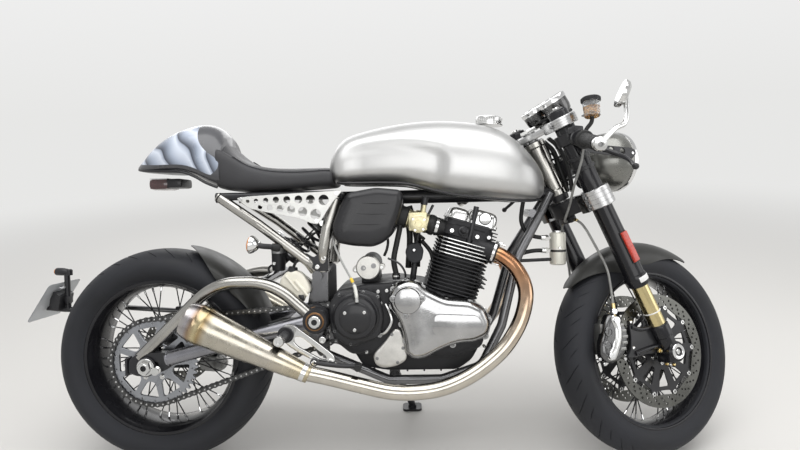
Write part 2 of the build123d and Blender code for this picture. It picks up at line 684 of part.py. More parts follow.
def add_yoke(low, high):
    """A flat web across the bike with a round clamp for each fork tube."""
    web = [(-28, 0), (-26, 26), (0, 76), (FORK_OFFSET - 14, 100), (FORK_OFFSET + 16, 88), (FORK_OFFSET + 8, 60), (32, 0)]
    with BuildSketch(fork_plane(low + 4)) as outline:
        with BuildLine():
            Polyline(*web, *[(x, -y) for x, y in reversed(web) if y], close=True)
        make_face()
    extrude(outline.sketch, amount=high - low - 8)
    for side in (-1, 1):
        foot = fork_point(low, FORK_OFFSET, side * FORK_HALF)
        add_turned(foot, STEER_DIR, [(0, 0), (0, CLAMP_R - 2), (2, CLAMP_R), (high - low - 2, CLAMP_R),
                                     (high - low, CLAMP_R - 2), (high - low, 0)])
        add_rod(foot - STEER_DIR * 10, foot + STEER_DIR * (high - low + 10), FORK_TUBE_R + 0.2, mode=Mode.SUBTRACT)


with BuildPart() as yokes:
    add_yoke(*TOP_YOKE)
    add_rod(fork_point(1000), fork_point(1050), 15.2, mode=Mode.SUBTRACT)

with BuildPart() as lower_yoke:
    add_yoke(*LOW_YOKE)
    add_rod(fork_point(780), fork_point(1044), 15)
    add_rod(fork_point(822), fork_point(838), 24)
    add_rod(fork_point(984), fork_point(1060), STEM_BORE_R, mode=Mode.SUBTRACT)
    # The brake hoses meet in a block under the yoke
    with BuildSketch(fork_plane(750, -6)) as splitter:
        RectangleRounded(24, 48, 4)
    extrude(splitter.sketch, amount=24)

with BuildPart() as fork_outers:
    for side in (-1, 1):
        y = side * FORK_HALF
        add_rod(fork_point(530, FORK_OFFSET, y), fork_point(1056, FORK_OFFSET, y), FORK_TUBE_R)
        add_rod(fork_point(525, FORK_OFFSET, y), fork_point(560, FORK_OFFSET, y), 30)

with BuildPart() as fork_lowers:
    for side in (-1, 1):
        y = side * FORK_HALF
        add_rod(fork_point(392, FORK_OFFSET, y), fork_point(525, FORK_OFFSET, y), 23)
        add_rod(fork_point(AXLE_ALONG - 6, FORK_OFFSET, y), fork_point(396, FORK_OFFSET, y), 25)
        add_rod((WHEELBASE, y - 24, FRONT_R), (WHEELBASE, y + 24, FRONT_R), 27)
    add_rod((WHEELBASE, 140, FRONT_R), (WHEELBASE, -140, FRONT_R), AXLE_R + 0.2, mode=Mode.SUBTRACT)

with BuildPart() as front_axle:
    add_rod((WHEELBASE, 133, FRONT_R), (WHEELBASE, -133, FRONT_R), AXLE_R)
    add_rod((WHEELBASE, -128.4, FRONT_R), (WHEELBASE, -133, FRONT_R), 17)
    add_rod((WHEELBASE, 140, FRONT_R), (WHEELBASE, -140, FRONT_R), AXLE_BORE_R, mode=Mode.SUBTRACT)

with BuildPart() as front_calipers:
    for side in (-1, 1):
        add_outline(98 if side > 0 else -66, 32,
                    [(1194, 300), (1186, 372), (1216, 410), (1290, 398), (1296, 330), (1250, 282)], 12)
        add_outline(66 if side > 0 else -42, 24, [(1250, 396), (1302, 366), (1286, 298), (1226, 299)], 8)
        add_rod((WHEELBASE, side * 56, FRONT_R), (WHEELBASE, side * 71, FRONT_R), 165, mode=Mode.SUBTRACT)
        for z in (330, 384):
            add_rod((1280, side * 88, z), (1390, side * 96, z + 10), 9)
    add(fork_lowers.part, mode=Mode.SUBTRACT)

with BuildPart() as headlamp:
    add_turned((1296, 0, 872), (1, 0, 0), [(0, 0), (2, 18), (10, 38), (24, 57), (44, 73), (68, 84), (92, 90),
                                           (122, 92), (124, 95), (134, 95), (140, 88), (140, 84), (146, 60), (150, 0)])
    for side in (-1, 1):
        add_rod((1376, side * 84, 872), (1376, side * 106, 872), 9)
        add_rod((1376, side * 100, 872), (1166, side * 103, 880), 8)
    add(fork_outers.part, mode=Mode.SUBTRACT)

with BuildPart() as gauges:
    for side in (-1, 1):
        add_turned((1172, side * 45, 992), (-26, 0, 38), [(0, 0), (0, 30), (8, 36), (46, 40), (57, 40), (57, 0)])
    add_rod((1168, 60, 1000), (1168, -60, 1000), 9)
    add_rod((1168, 0, 1000), (1150, 0, 960), 8)

with BuildPart() as handlebars:
    for side in (-1, 1):
        add_rod(fork_point(962, FORK_OFFSET, side * FORK_HALF), fork_point(994, FORK_OFFSET, side * FORK_HALF), 38)
        add_rod((1136, side * 134, 898), (1033, side * 335, 812), 11)
        add_rod((1092, side * 220, 861), (1033, side * 335, 812), 17)
        add_rod((1128, side * 150, 891), (1168, side * 168, 868), 11)
        add_tube([(1166, side * 164, 868), (1196, side * 216, 830), (1168, side * 300, 770)], 6, 40)
        add_rod(fork_point(960, FORK_OFFSET, side * FORK_HALF), fork_point(996, FORK_OFFSET, side * FORK_HALF),
                FORK_TUBE_R, mode=Mode.SUBTRACT)

with BuildPart() as fluid_reservoir:
    add_rod((1164, -180, 942), (1164, -180, 984), 25)
    add_rod((1164, -180, 984), (1164, -180, 993), 30)
    add_rod((1164, -180, 942), (1150, -160, 892), 6)

with BuildPart() as mirrors:
    for side in (-1, 1):
        add_rod((1031, side * 339, 810.1), (1024, side * 353, 804), 15)
        add_tube([(1026, side * 348, 806), (1062, side * 352, 839), (1104, side * 352, 862), (1114, side * 352, 916)],
                 6, 12)
        add_rod((1120, side * 352, 930), (1104, side * 352, 938), 32)

with BuildPart() as front_fender:
    with BuildSketch(Plane(origin=FRONT_AXLE, x_dir=(cos(radians(54)), 0, sin(radians(54))),
                           z_dir=(-sin(radians(54)), 0, cos(radians(54))))):
        with BuildLine():
            Polyline((284, -71), (302, -71), (320, -44), (320, 44), (302, 71), (284, 71), (284, 68), (301, 68),
                     (317, 42), (317, -42), (301, -68), (284, -68), close=True)
        make_face()
    revolve(axis=Axis(FRONT_AXLE, (0, -1, 0)), revolution_arc=102)
    cut_to_point(FRONT_AXLE, 58, 340, 90, 80)
    cut_to_point(FRONT_AXLE, 153, 340, -110, 80)
    for side in (-1, 1):
        add_tube([(1362, side * 71, 582), (1366, side * 74, 480), (1352, side * 86, 450)], 5, 16)
    add(fork_lowers.part, mode=Mode.SUBTRACT)

# Brake hoses, as distances along the steering axis, forward of it and to the left
HOSE_DOWN = [(950, 22, -158), (915, 8, -146), (880, -12, -124), (845, -24, -94), (806, -28, -60), (778, -40, -34),
             (762, -34, -12), (761, -12, -3)]
HOSE_SPLIT = [(760, -6, 18), (750, -6, 40), (722, -8, 54), (685, -12, 62), (645, -17, 72), (600, -24, 82),
              (560, -42, 86), (525, -59, 88), (478, -80, 88)]

with BuildPart() as brake_hoses:
    add_cord([fork_point(*spot) for spot in HOSE_DOWN], 3.5)
    for side in (-1, 1):
        add_cord([fork_point(along, offset, side * y) for along, offset, y in HOSE_SPLIT], 3.5)
    for neighbour in (lower_yoke, front_calipers, handlebars):
        add(neighbour.part, mode=Mode.SUBTRACT)

# Side stand: it is drawn from its pivot to the floor of the parked bike


def lowest(place, axle, axle_dir, section):
    """Lowest height of a tyre once it is placed."""
    centre = (place * Location(axle)).position
    away = (place * Location(axle + axle_dir)).position - centre
    return min(centre.Z + y * away.Z - radius * sqrt(1 - away.Z**2) for y, radius in section)


def turn_about(axis, angle):
    """Location that turns things about a line in space."""
    there = Location(Plane(origin=axis.position, z_dir=axis.direction))
    return there * Rot(Z=angle) * there.inverse()


FORK_TURN = turn_about(STEER_AXIS, STEER_LEFT)
pitch = 0.0
for _ in range(6):
    tilted = Rot(Y=pitch) * Rot(X=-LEAN)
    rear_low = lowest(tilted, REAR_AXLE, Vector(0, 1, 0), REAR_TYRE)
    front_low = lowest(tilted * FORK_TURN, FRONT_AXLE, Vector(0, 1, 0), FRONT_TYRE)
    pitch += degrees(atan2(front_low - rear_low, WHEELBASE))
STANDING = Pos(0, 0, -rear_low) * tilted
FROM_FLOOR = STANDING.inverse()

stand_floor_spot = FROM_FLOOR * Location((STAND_FLOOR[0], STAND_FLOOR[1], 0))
stand_ankle = (FROM_FLOOR * Location((STAND_FLOOR[0], STAND_FLOOR[1], 16))).position
STAND_DOWN = (stand_ankle - STAND_PIVOT).normalized()
# The pivot bolt lies across the bike, tipped so that the leg swings up along the rail
change = STAND_DOWN - STAND_FOLDED
STAND_AXIS = Vector(0, -change.Z, change.Y).normalized()
if STAND_AXIS.Y < 0:
    STAND_AXIS = STAND_AXIS * -1

with BuildPart() as side_stand:
    add_rod(STAND_PIVOT, stand_ankle, 11)
    add_rod(STAND_PIVOT - STAND_AXIS * 9, STAND_PIVOT + STAND_AXIS * 9, 17)
    with BuildSketch(Plane(stand_floor_spot)):
        RectangleRounded(64, 44, 12)
    extrude(amount=8)
    add_rod(stand_floor_spot.position + (stand_ankle - stand_floor_spot.position) * 0.4, stand_ankle, 14)
    add_rod(STAND_PIVOT - STAND_AXIS * 30, STAND_PIVOT + STAND_AXIS * 30, 7.3, mode=Mode.SUBTRACT)

with BuildPart() as stand_bracket:
    add_rod(STAND_PIVOT - STAND_AXIS * 24, STAND_PIVOT + STAND_AXIS * 14, 7)
    add_rod(STAND_PIVOT - STAND_AXIS * 26, STAND_PIVOT - STAND_AXIS * 12, 17)
    add_rod(STAND_PIVOT - STAND_AXIS * 30, Vector(672, 98, 244), 9)
    add(frame_cradles.part, mode=Mode.SUBTRACT)

BODIES = {
    "chassis": dict(
        head_tube=head_tube, frame_spine=frame_spine, frame_cradles=frame_cradles, rear_frame=rear_frame,
        swingarm=swingarm, rear_axle=rear_axle, crankcase=crankcase, cylinder_block=cylinder_block,
        cylinder_head=cylinder_head, rocker_covers=rocker_covers, timing_cover=timing_cover,
        clutch_cover=clutch_cover, primary_cover=primary_cover, throttle_bodies=throttle_bodies, airbox=airbox,
        header_pipes=header_pipes, silencers=silencers, fuel_tank=fuel_tank, tank_cap=tank_cap, seat=seat,
        tail_cowl=tail_cowl, side_plates=side_plates, rear_lamps=rear_lamps, plate_carrier=plate_carrier,
        shock=shock, rear_hugger=rear_hugger, catch_bottle=catch_bottle, rearsets=rearsets,
        oil_canister=oil_canister, engine_hoses=engine_hoses, clutch_cable=clutch_cable,
        rear_caliper=rear_caliper, chain=chain, stand_bracket=stand_bracket),
    "steering": dict(
        yokes=yokes, lower_yoke=lower_yoke, fork_outers=fork_outers, fork_lowers=fork_lowers,
        front_axle=front_axle, front_calipers=front_calipers, brake_hoses=brake_hoses, headlamp=headlamp,
        gauges=gauges, handlebars=handlebars, fluid_reservoir=fluid_reservoir, mirrors=mirrors,
        front_fender=front_fender),
    "front_wheel": dict(front_tyre=front_tyre, front_wire_wheel=front_wire_wheel, front_discs=front_discs),
    "rear_wheel": dict(rear_tyre=rear_tyre, rear_wire_wheel=rear_wire_wheel, rear_disc=rear_disc,
                       rear_sprocket=rear_sprocket),
    "side_stand": dict(side_stand=side_stand),
}

placed = {}
for body, pieces in BODIES.items():
    for name, piece in pieces.items():
        turn = FORK_TURN if body in ("steering", "front_wheel") else Location()
        placed[name] = (STANDING * turn) * piece.part

boxes = [shape.bounding_box() for shape in placed.values()]
middle_x = (min(b.min.X for b in boxes) + max(b.max.X for b in boxes)) / 2
middle_y = (min(b.min.Y for b in boxes) + max(b.max.Y for b in boxes)) / 2
CENTRED = Pos(-middle_x, -middle_y, 0)

os.makedirs("parts", exist_ok=True)
for name, shape in placed.items():
    shape = CENTRED * shape
    shape.label = name
    export_step(shape, f"parts/{name}.step")


def report(name, place, point, direction=None):
    """Print a place in the stored frame, for the record, in metres."""
    spot = (CENTRED * place * Location(point)).position
    print(name, "at", [round(v / 1000, 5) for v in spot])
    if direction is not None:
        tip = (CENTRED * place * Location(point + direction)).position - spot
        print(name, "axis", [round(v, 6) for v in tip])


report("rear axle", STANDING, REAR_AXLE, Vector(0, 1, 0))
report("front axle", STANDING * FORK_TURN, FRONT_AXLE, Vector(0, 1, 0))
report("steering", STANDING, fork_point(900), STEER_DIR)
report("stem mouth", STANDING, fork_point(1044), STEER_DIR)
report("side stand", STANDING, STAND_PIVOT, STAND_AXIS)
print("pitch", pitch, "sprocket x", FRONT_SPROCKET_X, "links", LINKS, "fork offset", FORK_OFFSET)
report("seat top", STANDING, Vector(380, 0, 862))
stand_up = STAND_FOLDED - STAND_AXIS * STAND_FOLDED.dot(STAND_AXIS)
stand_out = STAND_DOWN - STAND_AXIS * STAND_DOWN.dot(STAND_AXIS)
print("stand travel", round(stand_out.get_signed_angle(stand_up, STAND_AXIS), 2))
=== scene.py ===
import json
from math import asin, cos, exp, pi, radians, sin, sqrt, tan

import bmesh
import bpy
from mathutils import Matrix, Vector
from mathutils.geometry import delaunay_2d_cdt
from mathutils.kdtree import KDTree


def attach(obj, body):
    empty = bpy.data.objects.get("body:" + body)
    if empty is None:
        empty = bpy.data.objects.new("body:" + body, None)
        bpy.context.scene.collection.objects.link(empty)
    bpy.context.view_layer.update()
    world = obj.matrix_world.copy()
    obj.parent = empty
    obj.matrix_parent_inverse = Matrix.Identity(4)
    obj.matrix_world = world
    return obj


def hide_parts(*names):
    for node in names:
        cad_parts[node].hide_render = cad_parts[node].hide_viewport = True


# The looks of a parked cafe racer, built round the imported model.
# Pieces are drawn in millimetres of the upright bike, with X forward from the rear axle, Y to the rider's
# left and Z up. BIKE places them on the leaning bike, and FORK on its turned front.

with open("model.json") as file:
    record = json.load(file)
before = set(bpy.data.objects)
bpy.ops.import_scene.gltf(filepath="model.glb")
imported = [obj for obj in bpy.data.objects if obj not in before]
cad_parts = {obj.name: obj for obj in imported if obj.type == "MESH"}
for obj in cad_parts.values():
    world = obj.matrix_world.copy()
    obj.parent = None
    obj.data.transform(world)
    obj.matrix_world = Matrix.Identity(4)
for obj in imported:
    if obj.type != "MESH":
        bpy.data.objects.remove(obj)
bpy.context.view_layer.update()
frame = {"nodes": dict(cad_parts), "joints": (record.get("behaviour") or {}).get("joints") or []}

# Driving dimensions, as in the model
REAR_R = 315
FRONT_R = 300
WHEELBASE = 1420
RAKE = radians(24.5)
TRAIL = 99
STEER_LEFT = radians(25.4)
FORK_HALF = 103
FORK_TUBE_R = 28
CHAIN_PITCH = 15.875
CHAIN_LINKS = 106
REAR_TEETH = 48
FRONT_TEETH = 17
CHAIN_Y = -107
FRONT_SPROCKET_Z = 431
CYLINDER_BASE = Vector((842, 0, 495))
CYLINDER_LEAN = radians(17)

# Tyres and wheels
GROOVE = 2.6
SPOKE_RIM_R = 205
SPOKES_A_ROW = 10

# Chain: round ends and waist of a plate, roller and pin
PLATE_END_R = 7.1
PLATE_WAIST = 5.2
ROLLER_R = 5.0
PIN_R = 2.6

# Fins: steps in height, thickness, length along the bike, width across it and corners
FIN_STEP = 10.2
FIN_THICK = 3.6
FIN_LENGTH = 148
FIN_WIDTH = 240
FIN_CORNER = 30

# Exhaust, spring and canister
HEADER_R = 20.5
HEADER_SIDES = 32
SILENCER_LENGTH = 341
SILENCER_SIDES = 72
COIL_R = 30.5
COIL_WIRE_R = 4.4
CANISTER_R = 23

# Camera, measured from the middle of the rear wheel in metres, with its angles and focal length
CAMERA_FROM_AXLE = Vector((0.7495, -1.5397, 0.7107))
CAMERA_YAW = radians(-1.649)
CAMERA_PITCH = radians(-12.29)
CAMERA_ROLL = radians(-1.82)
CAMERA_LENS = 24.9

REAR_AXLE = Vector((0, 0, REAR_R))
FRONT_AXLE = Vector((WHEELBASE, 0, FRONT_R))
STEER_UP = Vector((-sin(RAKE), 0, cos(RAKE)))
STEER_FORWARD = Vector((cos(RAKE), 0, sin(RAKE)))
STEER_FOOT = Vector((WHEELBASE + TRAIL, 0, 0))
FORK_TURN = Matrix((STEER_FORWARD, (0, 1, 0), STEER_UP)).transposed()
AXLE_ALONG = (FRONT_AXLE - STEER_FOOT).dot(STEER_UP)
FORK_OFFSET = (FRONT_AXLE - STEER_FOOT).dot(STEER_FORWARD)


def bike_place():
    """Matrix from millimetres of the upright bike to the frame, worked out from its joints."""
    joints = {joint["name"]: joint for joint in frame["joints"]}
    left = Vector(joints["rear_wheel_spin"]["axis"]).normalized()
    steer = Vector(joints["steering"]["axis"]).normalized()
    ahead = left.cross(steer)
    forward = ahead * cos(RAKE) - steer * sin(RAKE)
    up = ahead * sin(RAKE) + steer * cos(RAKE)
    axes = Matrix((forward, left, up)).transposed().to_4x4() @ Matrix.Scale(0.001, 4)
    axes.translation = Vector(joints["rear_wheel_spin"]["pos_m"]) - up * REAR_R * 0.001
    return axes


BIKE = bike_place()
STEER_TURN = Matrix.Rotation(STEER_LEFT, 4, STEER_UP)
FORK = BIKE @ Matrix.Translation(STEER_FOOT) @ STEER_TURN @ Matrix.Translation(-STEER_FOOT)


def fork_point(along, offset=0.0, y=0.0):
    """Point along the steering axis and forward of it, before the fork is turned."""
    return STEER_FOOT + STEER_UP * along + STEER_FORWARD * offset + Vector((0, y, 0))


# Camera, floor and light

def make_camera():
    """The photo's viewpoint, worked out from both wheels."""
    fwd = Vector((sin(CAMERA_YAW) * cos(CAMERA_PITCH),
        cos(CAMERA_YAW) * cos(CAMERA_PITCH), sin(CAMERA_PITCH)))
    right = Vector((cos(CAMERA_YAW), -sin(CAMERA_YAW), 0))
    up = right.cross(fwd)
    rolled_right = right * cos(CAMERA_ROLL) + up * sin(CAMERA_ROLL)
    rolled_up = up * cos(CAMERA_ROLL) - right * sin(CAMERA_ROLL)
    camera = bpy.data.objects.new("camera", bpy.data.cameras.new("camera"))
    place = Matrix((rolled_right, rolled_up, -fwd)).transposed().to_4x4()
    place.translation = BIKE @ REAR_AXLE + CAMERA_FROM_AXLE
    camera.matrix_world = place
    camera.data.lens = CAMERA_LENS
    camera.data.sensor_width = 36
    camera.data.sensor_fit = "HORIZONTAL"
    bpy.context.scene.collection.objects.link(camera)
    bpy.context.scene.camera = camera


def area_light(name, at, target, size, power, colour=(1, 1, 1)):
    """A rectangular lamp that faces a target."""
    lamp = bpy.data.lights.new(name, "AREA")
    lamp.shape = "RECTANGLE"
    lamp.size, lamp.size_y = size
    lamp.energy = power
    lamp.color = colour
    lamp_object = bpy.data.objects.new(name, lamp)
    lamp_object.location = at
    lamp_object.rotation_euler = (Vector(target) - Vector(at)).to_track_quat("-Z", "Y").to_euler()
    bpy.context.scene.collection.objects.link(lamp_object)


BACKDROP = (0.80, 0.80, 0.79)


def sky_ramp(nodes, links, stops):
    """A colour from low in the air to high in it: stops are (height from 0 to 1, colour)."""
    where = nodes.new("ShaderNodeTexCoord")
    split = nodes.new("ShaderNodeSeparateXYZ")
    links.new(where.outputs["Generated"], split.inputs[0])
    half = nodes.new("ShaderNodeMath")
    half.operation = "MULTIPLY_ADD"
    half.inputs[1].default_value = 0.5
    half.inputs[2].default_value = 0.5
    links.new(split.outputs["Z"], half.inputs[0])
    ramp = nodes.new("ShaderNodeValToRGB")
    for place, colour in stops[1:-1]:
        ramp.color_ramp.elements.new(place).color = (*colour, 1)
    for end, (place, colour) in ((0, stops[0]), (-1, stops[-1])):
        ramp.color_ramp.elements[end].position = place
        ramp.color_ramp.elements[end].color = (*colour, 1)
    links.new(half.outputs[0], ramp.inputs["Fac"])
    return ramp.outputs["Color"]


def seen_directly(nodes, links):
    """1 for the camera and for what metal and glass show, and 0 for light."""
    path = nodes.new("ShaderNodeLightPath")
    total = path.outputs["Is Camera Ray"]
    for name in ("Is Glossy Ray", "Is Transmission Ray"):
        most = nodes.new("ShaderNodeMath")
        most.operation = "MAXIMUM"
        links.new(total, most.inputs[0])
        links.new(path.outputs[name], most.inputs[1])
        total = most.outputs[0]
    return total


def make_studio():
    """Plain pale room: backdrop, floor and four soft lamps."""
    scene = bpy.context.scene
    scene.view_settings.view_transform = "Standard"
    world = bpy.data.worlds.new("studio")
    scene.world = world
    world.use_nodes = True
    nodes, links = world.node_tree.nodes, world.node_tree.links
    background = nodes["Background"]
    # The air is a soft grey as light, a little brighter overhead.
    # The camera, metal and glass see a pale backdrop.
    ramp = sky_ramp(nodes, links, ((0.45, (0.24, 0.23, 0.22)), (0.95, (0.80, 0.80, 0.80))))
    backdrop = sky_ramp(nodes, links,
        ((0.5, BACKDROP), (0.62, (0.88, 0.88, 0.88)), (0.8, (0.62, 0.62, 0.62))))
    pick = nodes.new("ShaderNodeMix")
    pick.data_type = "RGBA"
    links.new(seen_directly(nodes, links), pick.inputs["Factor"])
    links.new(ramp, pick.inputs[6])
    links.new(backdrop, pick.inputs[7])
    links.new(pick.outputs[2], background.inputs["Color"])

    floor_mesh = bpy.data.meshes.new("floor")
    floor_mesh.from_pydata([(x, y, 0) for x, y in ring_points((0, 0), 30, 96)], [], [tuple(range(96))])
    floor = bpy.data.objects.new("floor", floor_mesh)
    scene.collection.objects.link(floor)
    floor_paint = bpy.data.materials.new("floor_paint")
    floor_paint.use_nodes = True
    nodes, links = floor_paint.node_tree.nodes, floor_paint.node_tree.links
    shader = nodes["Principled BSDF"]
    shader.inputs["Base Color"].default_value = (0.60, 0.59, 0.57, 1)
    shader.inputs["Roughness"].default_value = 0.6
    # Far from the bike the floor turns into the backdrop
    where = nodes.new("ShaderNodeTexCoord")
    reach = nodes.new("ShaderNodeVectorMath")
    reach.operation = "LENGTH"
    links.new(where.outputs["Object"], reach.inputs[0])
    far = nodes.new("ShaderNodeMapRange")
    far.interpolation_type = "SMOOTHSTEP"
    far.inputs["From Min"].default_value = 1.2
    far.inputs["From Max"].default_value = 6.5
    links.new(reach.outputs["Value"], far.inputs["Value"])
    glow = nodes.new("ShaderNodeEmission")
    glow.inputs["Color"].default_value = (*BACKDROP, 1)
    links.new(seen_directly(nodes, links), glow.inputs["Strength"])
    blend = nodes.new("ShaderNodeMixShader")
    links.new(far.outputs["Result"], blend.inputs["Fac"])
    links.new(shader.outputs["BSDF"], blend.inputs[1])
    links.new(glow.outputs["Emission"], blend.inputs[2])
    links.new(blend.outputs["Shader"], nodes["Material Output"].inputs["Surface"])
    floor.data.materials.append(floor_paint)

    area_light("top_light", (0.2, -0.5, 3.2), (0.1, 0, 0.4), (4.2, 2.4), 92)
    area_light("front_light", (0.6, -3.4, 1.7), (0.1, 0, 0.5), (3.4, 1.6), 36)
    area_light("back_light", (-0.6, 3.2, 2.0), (0, 0, 0.5), (3.4, 1.6), 32)
    area_light("nose_light", (3.4, -0.8, 1.5), (0.3, 0, 0.5), (1.8, 1.8), 16)


# Materials: each is a principled shader with its own grain, tone changes and bump

def mix_colour(nodes, links, factor, low, high):
    """A colour between two colours or sockets."""
    mix = nodes.new("ShaderNodeMix")
    mix.data_type = "RGBA"
    for place, value in ((6, low), (7, high)):
        if isinstance(value, bpy.types.NodeSocket):
            links.new(value, mix.inputs[place])
        else:
            mix.inputs[place].default_value = (*value, 1)
    links.new(factor, mix.inputs["Factor"])
    return mix.outputs[2]


def product(nodes, links, first, second):
    """Two colours multiplied."""
    times = nodes.new("ShaderNodeMix")
    times.data_type = "RGBA"
    times.blend_type = "MULTIPLY"
    times.inputs["Factor"].default_value = 1
    links.new(first, times.inputs[6])
    links.new(second, times.inputs[7])
    return times.outputs[2]


def ramp_colour(nodes, links, value, stops):
    """A colour that follows a value: stops are (place, colour)."""
    ramp = nodes.new("ShaderNodeValToRGB")
    while len(ramp.color_ramp.elements) < len(stops):
        ramp.color_ramp.elements.new(0.5)
    for element, (place, colour) in zip(ramp.color_ramp.elements, stops):
        element.position = place
        element.color = (*colour, 1)
    links.new(value, ramp.inputs["Fac"])
    return ramp.outputs["Color"]


def noise_node(nodes, links, vector, scale, detail=3.0, stretch=(1, 1, 1), rough=0.5):
    """A noise value."""
    mapping = nodes.new("ShaderNodeMapping")
    mapping.inputs["Scale"].default_value = stretch
    links.new(vector, mapping.inputs["Vector"])
    grain = nodes.new("ShaderNodeTexNoise")
    grain.inputs["Scale"].default_value = scale
    grain.inputs["Detail"].default_value = detail
    grain.inputs["Roughness"].default_value = rough
    links.new(mapping.outputs["Vector"], grain.inputs["Vector"])
    return grain.outputs["Fac"]


def remap(nodes, links, value, low, high, out_low, out_high):
    """A value moved from one range to another."""
    ramp = nodes.new("ShaderNodeMapRange")
    for socket, number in (("From Min", low), ("From Max", high), ("To Min", out_low), ("To Max", out_high)):
        ramp.inputs[socket].default_value = number
    links.new(value, ramp.inputs["Value"])
    return ramp.outputs["Result"]


def material(name, colour, metallic, roughness, mottle, mottle_scale, grain, grain_scale, bump, coat=0.0,
        rough_spread=0.12, stretch=(1, 1, 1), spots=None):
    """A material with a broad change of tone, a fine grain in its roughness and a shallow bump."""
    paint = bpy.data.materials.new(name)
    paint.use_nodes = True
    nodes, links = paint.node_tree.nodes, paint.node_tree.links
    shader = nodes["Principled BSDF"]
    where = nodes.new("ShaderNodeTexCoord").outputs["Object"]
    broad = noise_node(nodes, links, where, mottle_scale, 4)
    fine = noise_node(nodes, links, where, grain_scale, 2, stretch)
    dark = [c * (1 - mottle) for c in colour]
    light = [min(1, c * (1 + mottle)) for c in colour]
    tone = mix_colour(nodes, links, remap(nodes, links, broad, 0.3, 0.7, 0, 1), dark, light)
    if grain:
        fine_dark = [c * (1 - grain) for c in (1, 1, 1)]
        shade = mix_colour(nodes, links, remap(nodes, links, fine, 0.35, 0.65, 0, 1), fine_dark, (1, 1, 1))
        tone = product(nodes, links, tone, shade)
    if spots:
        # Spots of another colour: how much of the surface they take, their scale and their colour
        amount, scale, spot_colour = spots
        patch = noise_node(nodes, links, where, scale, 6, (1, 1, 1), 0.65)
        tone = mix_colour(nodes, links,
            remap(nodes, links, patch, 0.72 - amount, 0.78 - amount, 0, 1), tone, spot_colour)
    links.new(tone, shader.inputs["Base Color"])
    low, high = max(0.02, roughness - rough_spread), min(1, roughness + rough_spread)
    links.new(remap(nodes, links, broad, 0.3, 0.7, low, high), shader.inputs["Roughness"])
    shader.inputs["Metallic"].default_value = metallic
    shader.inputs["Coat Weight"].default_value = coat
    shader.inputs["Coat Roughness"].default_value = 0.08
    if bump:
        bumps = nodes.new("ShaderNodeBump")
        bumps.inputs["Strength"].default_value = bump
        bumps.inputs["Distance"].default_value = 0.001
        links.new(fine, bumps.inputs["Height"])
        links.new(bumps.outputs["Normal"], shader.inputs["Normal"])
    return paint


def tinted_by(name, attribute, stops, roughness):
    """Metal whose colour follows a number stored along the piece: stops are (place, colour)."""
    paint = material(name, stops[0][1], 1, roughness, 0.06, 30, 0.06, 500, 0.05)
    nodes, links = paint.node_tree.nodes, paint.node_tree.links
    shader = nodes["Principled BSDF"]
    along = nodes.new("ShaderNodeAttribute")
    along.attribute_name = attribute
    tint = ramp_colour(nodes, links, along.outputs["Fac"], stops)
    where = nodes.new("ShaderNodeTexCoord").outputs["Object"]
    cloud = noise_node(nodes, links, where, 25, 4)
    shade = mix_colour(nodes, links, remap(nodes, links, cloud, 0.3, 0.7, 0, 1),
        (0.82, 0.82, 0.82), (1, 1, 1))
    links.new(product(nodes, links, tint, shade), shader.inputs["Base Color"])
    return paint


def glass(name, colour, roughness=0.02, transmission=0.9):
    """A clear or tinted glass."""
    paint = bpy.data.materials.new(name)
    paint.use_nodes = True
    shader = paint.node_tree.nodes["Principled BSDF"]
    shader.inputs["Base Color"].default_value = (*colour, 1)
    shader.inputs["Roughness"].default_value = roughness
    shader.inputs["Transmission Weight"].default_value = transmission
    shader.inputs["IOR"].default_value = 1.45
    return paint


